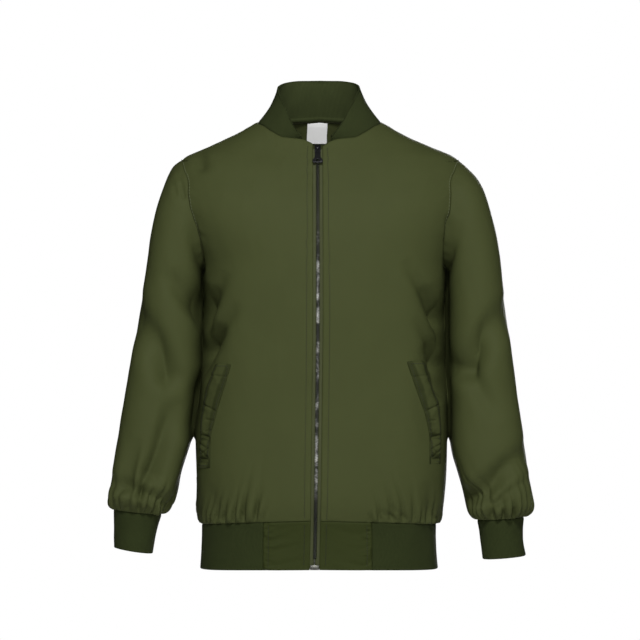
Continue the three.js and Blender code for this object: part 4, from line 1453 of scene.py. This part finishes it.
@dataclass
class Collar:
    """Rib collar that tapers to a point at each front end."""

    wardrobe: Wardrobe
    front_end: float = 24.0
    skew: float = -5.5
    hollow: float = 7.0
    columns: int = 240
    rows: int = 40

    def form(self, share: Array, rise: Array) -> tuple[Array, Array]:
        """The collar's outer face and its directions.

        A row of it goes from the right front end round the back to the left one. Each
        column leads from the neck seam to the rim and bows inwards by rise times
        one minus rise.

        Args:
            share: places along the collar, from 0 to 1.
            rise: heights on it, 0 at the neck seam and 1 at the rim.

        Returns:
            Points and outward directions, in millimetres.
        """
        side = np.where(share < 0.5, -1, 1)
        back = 1 - np.abs(2 * share - 1)
        seam = NECK_SEAM.at("z", self.front_end) + 0 * share
        end = np.abs(BODY.front_angle(side * self.front_end + self.skew, seam))
        angle = end + (CENTRE_BACK - end) * back
        angle = np.where(side < 0, tau - angle, angle)
        z = by_angle(NECK_SEAM, angle)
        base = BODY.point(angle, z)
        turned = self.front_end + (180 - self.front_end) * back
        across = side * COLLAR_RIM.at("across", turned) + self.skew * (1 - back) ** 2
        rim = np.stack([across, -COLLAR_RIM.at("forward", turned), COLLAR_RIM.at("z", turned)], axis=-1)
        t = rise[:, None, None]
        point = base * (1 - t) + rim * t
        inward = unit(-point * np.array([1, 1, 0]))
        bow = self.hollow * np.minimum(1, 2 * back)[None, :, None] * t * (1 - t)
        point = point + inward * bow
        around = np.gradient(point, axis=1)
        up = np.gradient(point, axis=0)
        return point, unit(-np.cross(around, up))

    def make(self) -> None:
        """Build the collar, its first row turned down behind the panels' edge."""
        share = np.linspace(0, 1, self.columns + 1)
        rise = np.linspace(0, 1, self.rows + 1)
        point, normal = self.form(share, rise)
        grid = Grid(point, normal)
        relief = 0.6 * noise(110, share * 26, rise[:, None] * 3) * rise[:, None]
        relief = relief + seam_groove(grid.down(), 0.6)
        grid = grid.raised(relief)
        grid.point[0] -= (SHELL + SEAM_GAP) * normal[0] + np.array([0, 0, TUCK])
        item = folded_rib("rib_collar", grid)
        dress(item, "collar", self.wardrobe.collar)


@dataclass
class HemBand:
    """The rib band with a woven tab at each front end."""

    wardrobe: Wardrobe
    rows: int = 44
    rib_columns: int = 330
    tab_columns: int = 84
    shirr_wave: float = 3.4
    turned_edge: float = 0.9
    stitch_lines: tuple[float, float] = (9.6, 8.0)

    def band(self, start: Callable[[Array], Array], end: Callable[[Array], Array], columns: int) -> Grid:
        """The outer face of one piece of the band.

        Args:
            start: angle of its first end at a height.
            end: angle of its other end at a height.
            columns: how many steps it has across.

        Returns:
            The grid, with the seam in its first row and the fold in its last.
        """
        t = np.linspace(0, 1, self.rows + 1)[:, None]
        u = np.linspace(0, 1, columns + 1)[None, :]
        guess = HEM_TOP + (HEM_LOW - HEM_TOP) * t
        angle = start(guess) * (1 - u) + end(guess) * u
        z = (by_angle(HEM_SEAM, angle) - SEAM_GAP) * (1 - t) + by_angle(HEM_EDGE, angle) * t
        normal = unit(BODY.normal(angle, z) * np.array([1, 1, 0]))
        return Grid(BODY.point(angle, z), normal)

    def tucked(self, grid: Grid) -> Grid:
        """The grid with its first row turned up behind the panels, as a seam's allowance is."""
        point = grid.point.copy()
        point[0] += np.array([0, 0, TUCK]) - (SHELL + SEAM_GAP) * grid.normal[0]
        return Grid(point, grid.normal, grid.ring)

    def rib(self) -> None:
        """Build the rib part, from tab to tab round the back."""
        grid = self.band(
            lambda z: BODY.front_angle(TAB_EDGE[Side.LEFT] + SEAM_GAP / 2, z),
            lambda z: BODY.front_angle(TAB_EDGE[Side.RIGHT] - SEAM_GAP / 2, z) + tau,
            self.rib_columns,
        )
        across, down = grid.across(), grid.down()
        relief = 0.7 * noise(120, across / 30, down / 26)
        relief += seam_groove(grid.from_edges()) + seam_groove(down, 0.7)
        grid = self.tucked(grid.raised(relief))
        item = folded_rib("rib_hem", grid)
        dress(item, "hem_rib", self.wardrobe.rib)

    def tab(self, side: Side, stitches: Stitches) -> None:
        """Build one woven tab, shirred beside the rib."""
        edge = TAB_EDGE[side] - side.value * SEAM_GAP / 2
        grid = self.band(
            lambda z: BODY.zip_angle(z, side.value * ZIP_OPENING / 2),
            lambda z: BODY.front_angle(edge, z),
            self.tab_columns,
        )
        across, down = grid.across(), grid.down()
        from_rib = across[:, -1:] - across
        seed = 130 + side.value
        shirr = noise(seed, down / self.shirr_wave, from_rib / 16)
        relief = 3.0 * shirr * np.exp(-((from_rib - 4) / 9) ** 2)
        relief += 2.4 * noise(seed + 3, down / 8 + from_rib / 40, from_rib / 26) * np.exp(-from_rib / 34)
        relief *= held(from_rib) * held(down)
        relief -= self.turned_edge * np.exp(-across / TURN_REACH)
        relief += seam_groove(from_rib, 1.0) + seam_groove(down, 0.7)
        zip_line, rib_line = self.stitch_lines
        relief += seam_groove(np.abs(from_rib - rib_line), 0.5, 1.2)
        relief += seam_puckers(seed + 6, across, down, 0.4, 7, 6)
        grid = self.tucked(grid.raised(relief))
        item = folded_rib(f"cloth_hem_tab_{side.word}", grid)
        dress(item, f"hem_tab_{side.word}", self.wardrobe.band)
        for column in (np.abs(across[5] - zip_line).argmin(), np.abs(from_rib[5] - rib_line).argmin()):
            stitches.sew(grid.point[2:-3, column], grid.normal[2:-3, column])


@dataclass(frozen=True)
class Pucker:
    """A narrow trough across a welt, by its height, slant, width and depth in millimetres.

    It runs between two shares of the welt's width, counted from the inner edge.
    """

    z: float
    slant: float
    width: float
    depth: float
    first: float = 0.0
    last: float = 1.0

    def relief(self, z: Array, share: Array) -> Array:
        """Height of the cloth: a Gaussian of the distance to the slanting line."""
        away = (z - self.z - self.slant * (share - 0.5)) / self.width
        return -self.depth * np.exp(-(away**2)) * window(share, self.first, self.last, 0.2)


WELT_PUCKERS = [
    Pucker(-405, 2, 1.4, 0.8),
    Pucker(-432, -12, 4.0, 0.4),
    Pucker(-456, 12, 1.7, 1.3, 0.1, 0.9),
    Pucker(-461, -10, 1.4, 0.8, 0.0, 0.15),
    Pucker(-475, 2, 1.4, 1.1, 0.1, 0.5),
    Pucker(-493, -6, 1.8, 1.2, 0.1, 0.45),
    Pucker(-502, 4, 4.2, 2.2, 0.2, 0.8),
    Pucker(-516, 9, 1.9, 0.8, 0.4, 0.9),
    Pucker(-524, -14, 2.2, 1.5, 0.2, 0.8),
    Pucker(-528, 16, 2.2, 1.5, 0.2, 0.8),
    Pucker(-538, 2, 4.6, 2.4, 0.2, 0.8),
]


@dataclass
class PocketWelts:
    """Slanted welts, puckered along their length."""

    wardrobe: Wardrobe
    thickness: float = 2.0
    standoff: float = 0.7
    rolled: float = 2.3
    stitch_line: float = 4.2
    rows: int = 120
    columns: int = 22

    def make(self, stitches: Stitches) -> None:
        """Build both welts on the fronts' cloth."""
        for side in Side:
            outline = WELT_OUTLINE[side]
            heights = outline.values[:, 0]
            z = np.linspace(heights[-1], heights[0], self.rows + 1)[:, None]
            u = np.linspace(0, 1, self.columns + 1)[None, :]
            x = outline.at("inner", z) * (1 - u) + outline.at("outer", z) * u
            z = z + 0 * x
            angle = BODY.front_angle(x, z)
            grid = Grid(BODY.point(angle, z), BODY.normal(angle, z))
            down, across, edge = grid.down(), grid.across(), grid.from_edges()
            ends = np.minimum(down, down[-1:] - down)
            seed = 150 + side.value
            pucker = 0.7 * noise(seed, down / 8 + across / 18, across / 14)
            pucker = pucker + 1.7 * sum(line.relief(z, u) for line in WELT_PUCKERS)
            relief = body_relief(grid.point, grid.normal, angle, z) + self.standoff + self.thickness
            relief += pucker * np.clip(edge / 2.5, 0.25, 1)
            relief += seam_groove(edge, self.rolled, 1.6) + seam_groove(ends, self.rolled, 1.6)
            relief += seam_groove(np.abs(edge - self.stitch_line), 1.0, 1.1)
            grid = grid.raised(relief)
            item = shell_piece(f"cloth_welt_{side.word}", grid, self.thickness)
            dress(item, f"pocket_welt_{side.word}", self.wardrobe.welt)
            for column in (3, self.columns - 3):
                stitches.sew(grid.point[3:-3, column], grid.normal[3:-3, column])
            stitches.sew(grid.point[3, 3:-3], grid.normal[3, 3:-3])
            stitches.sew(grid.point[-4, 3:-3], grid.normal[-4, 3:-3])


@dataclass
class Zip:
    """The front zip: tapes, two rows of teeth, slider, pull, box and pin."""

    wardrobe: Wardrobe
    tape_inner: float = 2.6
    tape_outer: float = 15.0
    tape_thickness: float = 1.0
    top: float = -46.0
    bottom: float = -706.0
    chain_top: float = -52.0
    chain_bottom: float = -690.0
    pitch: float = 2.5
    tooth: tuple[float, float, float] = (3.7, 2.2, 1.15)
    taper: float = 0.12
    overlap: float = 0.7
    slack: float = 0.06
    recess: float = 0.8

    def line(self, offset: Array | float, z: Array, depth: Array | float) -> tuple[Array, Array]:
        """Points and directions beside the zip's middle line, under the cloth's outer face.

        Args:
            offset: distance from the middle line, in millimetres.
            z: heights, in millimetres.
            depth: how far under the outer face, in millimetres.

        Returns:
            Points and outward directions.
        """
        angle = BODY.zip_angle(z, offset)
        point, normal = BODY.point(angle, z), BODY.normal(angle, z)
        return point - normal * np.broadcast_to(depth, z.shape)[..., None], normal

    def sunk(self, z: Array) -> Array:
        """How much deeper the zip lies behind the thicker hem tabs, in millimetres."""
        return (RIB - SHELL) * (1 - window(z, -591, self.top, 35))

    def tapes(self) -> None:
        """Build both tapes, which sink behind the hem tabs and nearly meet below the teeth."""
        z = np.linspace(self.top, self.bottom, 331)
        depth = SHELL + self.sunk(z) + 0.4
        for side in Side:
            inner = self.tape_inner * (0.1 + 0.9 * window(z, self.chain_bottom, self.top, 3))
            shares = np.linspace(0, 1, 9)
            offsets = [side.value * (inner + (self.tape_outer - inner) * share) for share in shares]
            columns = [self.line(offset, z, depth) for offset in offsets]
            grid = Grid(*(np.stack(part, axis=1) for part in zip(*columns)))
            item = shell_piece(f"woven_zip_tape_{side.word}", grid, self.tape_thickness)
            dress(item, f"zip_tape_{side.word}", self.wardrobe.tape)

    def tooth_form(self) -> tuple[Array, Array, Array]:
        """Points, side faces and end faces of one tooth.

        A tooth is a box rounded by |x|^p + |y|^p + |z|^p = 1, narrower at its outer end.
        """
        turn = np.linspace(0, tau, 10, endpoint=False)
        lift = np.linspace(-pi / 2, pi / 2, 6)[1:-1]
        power = lambda value: np.sign(value) * np.abs(value) ** 0.45
        x = power(np.cos(lift))[:, None] * power(np.cos(turn))[None]
        y = power(np.cos(lift))[:, None] * power(np.sin(turn))[None]
        h = np.broadcast_to(power(np.sin(lift))[:, None], x.shape)
        ball = np.stack([x, y, h], axis=-1).reshape(-1, 3) * np.array(self.tooth) / 2
        ball[:, 2] *= 1 - self.taper * np.sign(ball[:, 0])
        index = np.arange(len(ball)).reshape(x.shape)
        after = np.roll(index, -1, axis=1)
        faces = np.stack([index[:-1], after[:-1], after[1:], index[1:]], axis=-1).reshape(-1, 4)
        return ball, faces, np.stack([index[0, ::-1], index[-1]])

    def teeth(self) -> None:
        """Build the chain: rounded teeth, left and right in turn, each a little off its place."""
        ball, faces, caps = self.tooth_form()
        heights = np.arange(self.chain_top, self.chain_bottom, -self.pitch / 2)
        side = np.where(np.arange(len(heights)) % 2, 1, -1)
        depth = self.recess + self.tooth[1] / 2 + self.sunk(heights)
        middle, normal = self.line(0, heights, depth)
        above, _ = self.line(0, heights + 1, depth)
        up = unit(above - middle)
        aside = unit(np.cross(normal, up)) * -side[:, None]
        jitter = np.random.default_rng(5).uniform(-self.slack, self.slack, (len(heights), 3))
        centre = middle + aside * (self.tooth[0] / 2 - self.overlap) + jitter
        axes = np.stack([aside, -normal, up], axis=1)
        points = centre[:, None] + np.einsum("pk,tkx->tpx", ball, axes)
        offset = np.arange(len(heights))[:, None, None] * len(ball)
        quads = (faces[None] + offset).reshape(-1, 4).tolist()
        ends = (caps[None] + offset).reshape(-1, caps.shape[1]).tolist()
        item = shells("zip_teeth", points, quads + ends)
        dress(item, "zip_chain", self.wardrobe.teeth)

    def hardware(self) -> None:
        """Build slider, pull, box and pin: the CAD shapes with rounded edges."""
        black, nickel = self.wardrobe.black, self.wardrobe.nickel
        rounded("zip_slider", "metal_slider", 0.35, black)
        rounded("zip_pull", "metal_pull", 0.3, black, "pull_tab")
        rounded("zip_box", "metal_box", 0.4, nickel)
        rounded("zip_pin", "metal_pin", 0.2, nickel)


def rounded(node: str, name: str, radius: float, material: bpy.types.Material,
            body: str = "jacket") -> None:
    """Copy a CAD node's shape and round its edges.

    Args:
        node: the CAD node.
        name: the new piece's name.
        radius: of the edges, in millimetres.
        material: its finish.
        body: the CAD body it moves with.
    """
    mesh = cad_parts[node].data.copy()
    mesh.name = name
    mesh.materials.clear()
    shape = bmesh.new()
    shape.from_mesh(mesh)
    bmesh.ops.remove_doubles(shape, verts=shape.verts, dist=1e-6)
    bmesh.ops.dissolve_limit(shape, angle_limit=radians(2), verts=shape.verts, edges=shape.edges)
    bmesh.ops.recalc_face_normals(shape, faces=shape.faces)
    shape.to_mesh(mesh)
    shape.free()
    item = linked(name, mesh)
    bevel = item.modifiers.new("rounded", "BEVEL")
    bevel.width = radius * MM
    bevel.segments = 3
    bevel.limit_method = "ANGLE"
    bevel.angle_limit = radians(40)
    bevel.harden_normals = False
    mesh.shade_smooth()
    dress(item, node, material, body)


@dataclass
class NeckTrim:
    """Tape over the back neck seam and the bare label below it, on the back's inner face."""

    wardrobe: Wardrobe
    tape_top: float = 1.0
    tape_height: float = 5.0
    thickness: float = 1.0
    label_centre: float = -3.5
    label_size: float = 33.0
    corner: float = 3.0

    def lining_grid(self, angle: Array, z: Array) -> Grid:
        """Points just inside the back's inner face, looking into the neck."""
        point, normal = BODY.point(angle, z), BODY.normal(angle, z)
        relief = body_relief(point, normal, angle, z)
        return Grid(point, normal).raised(relief - SHELL - 2 * SEAM_GAP - 0.6)

    def tape(self) -> None:
        """Build the neck tape."""
        angle = np.linspace(SIDE_SEAM + 0.05, 3 * SIDE_SEAM - 0.05, 121)[None, :]
        t = np.linspace(0, 1, 9)[:, None]
        z = by_angle(NECK_SEAM, angle) - self.tape_top - t * self.tape_height
        grid = self.lining_grid(angle + 0 * t, z)
        relief = -0.8 * (1 - (2 * t - 1) ** 2) + 0 * z
        item = shell_piece("woven_neck_tape", grid.raised(relief), self.thickness)
        dress(item, "neck_tape", self.wardrobe.tape)

    def label(self) -> None:
        """Build the bare label, with its lower corners rounded."""
        t = np.linspace(0, 1, 41)[:, None]
        u = np.linspace(-0.5, 0.5, 41)[None, :]
        below = self.tape_top + self.tape_height + 2 * SEAM_GAP
        from_corner = np.maximum(0, self.corner - (1 - t) * self.label_size)
        inset = self.corner - np.sqrt(np.maximum(0, self.corner**2 - from_corner**2))
        x = self.label_centre + u * (self.label_size - 2 * inset)
        level = by_angle(NECK_SEAM, np.array(CENTRE_BACK)) - below - t * self.label_size + 0 * x
        angle = CENTRE_BACK - np.arctan2(x, BODY_SECTIONS.at("back", level))
        z = level + (1 - t) * (by_angle(NECK_SEAM, angle) - by_angle(NECK_SEAM, np.array(CENTRE_BACK)))
        grid = self.lining_grid(angle, z)
        relief = -0.5 * np.sin(pi * t) * (1 - 2 * np.abs(u)) + 0 * z
        item = shell_piece("satin_neck_label", grid.raised(relief), self.thickness)
        dress(item, "neck_label", self.wardrobe.label)


LAMPS = {
    "above": ((0.1, -3.3, 2.3), 0.6, 156),
    "front": ((0.0, -4.75, 0.12), 0.4, 60),
    "side_left": ((3.4, -1.9, 0.4), 1.0, 19),
    "side_right": ((-3.4, -1.9, 0.4), 1.0, 9),
    "back": ((0.5, 3.6, 0.2), 2.2, 140),
}


@dataclass(frozen=True)
class Studio:
    """Pale floor, soft light from the front and a level camera."""

    distance: float = 5.0
    middle: tuple[float, float] = (0.0008, -0.317)
    frame_width: float = 1.024
    sensor: float = 36.0
    fill: float = 0.01
    floor_drop: float = 0.9
    floor_radius: float = 3.5

    def camera(self) -> None:
        """Stand the camera level in front, its frame as wide as the photograph's."""
        data = bpy.data.cameras.new("camera")
        data.sensor_width = self.sensor
        data.lens = self.sensor * self.distance / self.frame_width
        item = linked("camera", data)
        item.location = (self.middle[0], -self.distance, self.middle[1])
        item.rotation_euler = (pi / 2, 0, 0)
        bpy.context.scene.camera = item

    def floor(self) -> None:
        """Lay a round pale floor below the jacket."""
        turn = np.linspace(0, tau, 96, endpoint=False)
        z = cad_bounds[0][2] - self.floor_drop
        rim = np.stack([np.cos(turn) * self.floor_radius, np.sin(turn) * self.floor_radius, 0 * turn + z], -1)
        mesh = bpy.data.meshes.new("floor")
        mesh.from_pydata(rim.tolist(), [], [list(range(len(turn)))])
        item = linked("floor", mesh)
        maker = NodeMaker("pale_floor")
        cloud = maker.noise(maker.place(), 2, 2)
        mesh.materials.append(maker.finish(
            base_color=maker.mix(cloud, (0.8, 0.8, 0.79), (0.84, 0.84, 0.83)), roughness=0.8))
        item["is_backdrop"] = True

    def light(self, name: str, place: tuple[float, float, float], size: float, power: float) -> None:
        """Hang a square soft light that looks at the jacket's middle; size in metres, power in watts."""
        data = bpy.data.lights.new(name, "AREA")
        data.shape, data.size, data.energy = "SQUARE", size, power
        item = linked(name, data)
        item.location = place
        target = np.array([self.middle[0], 0, self.middle[1]])
        away = unit(np.array(place) - target)
        item.rotation_euler = (np.arccos(away[2]), 0, np.arctan2(away[1], away[0]) + pi / 2)

    def world(self) -> None:
        """Make the background white and let it light the jacket softly."""
        world = bpy.data.worlds.new("studio")
        bpy.context.scene.world = world
        world.use_nodes = True
        tree = world.node_tree
        tree.nodes.clear()
        lit, seen = (tree.nodes.new("ShaderNodeBackground") for _ in range(2))
        lit.inputs["Color"].default_value = (1, 1, 1, 1)
        lit.inputs["Strength"].default_value = self.fill
        seen.inputs["Color"].default_value = (1, 1, 1, 1)
        seen.inputs["Strength"].default_value = 1.0
        path, mix = tree.nodes.new("ShaderNodeLightPath"), tree.nodes.new("ShaderNodeMixShader")
        out = tree.nodes.new("ShaderNodeOutputWorld")
        tree.links.new(path.outputs["Is Camera Ray"], mix.inputs[0])
        tree.links.new(lit.outputs[0], mix.inputs[1])
        tree.links.new(seen.outputs[0], mix.inputs[2])
        tree.links.new(mix.outputs[0], out.inputs[0])

    def make(self) -> None:
        """Set up camera, floor, lights, background and the plain view transform."""
        self.camera()
        self.floor()
        for name, (place, size, power) in LAMPS.items():
            self.light(name, place, size, power)
        self.world()
        view = bpy.context.scene.view_settings
        view.view_transform = "Standard"
        view.look = "None"


def main() -> None:
    """Build the jacket piece by piece and report each one."""
    logging.basicConfig(level=logging.INFO, format="%(message)s")
    Studio().make()
    wardrobe = Wardrobe()
    stitches = Stitches("zip_edge_stitches", pitch=4.0, length=2.6, radius=0.5)
    topstitches = Stitches("armhole_stitches", pitch=5.2, length=3.2, radius=0.55)
    Fronts(wardrobe).make(stitches, topstitches)
    Back(wardrobe).make()
    Sleeves(wardrobe).make()
    Cuffs(wardrobe).make()
    Collar(wardrobe).make()
    band = HemBand(wardrobe)
    band.rib()
    for side in Side:
        band.tab(side, stitches)
    PocketWelts(wardrobe).make(stitches)
    stitches.piece(wardrobe.thread)
    topstitches.piece(wardrobe.pale_thread)
    zip_ = Zip(wardrobe)
    zip_.tapes()
    zip_.teeth()
    zip_.hardware()
    trim = NeckTrim(wardrobe)
    trim.tape()
    trim.label()
    boxes = {"cad": [list(corner) for corner in cad_bounds], "visual": [list(corner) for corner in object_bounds()]}


if __name__ == "__main__":
    main()
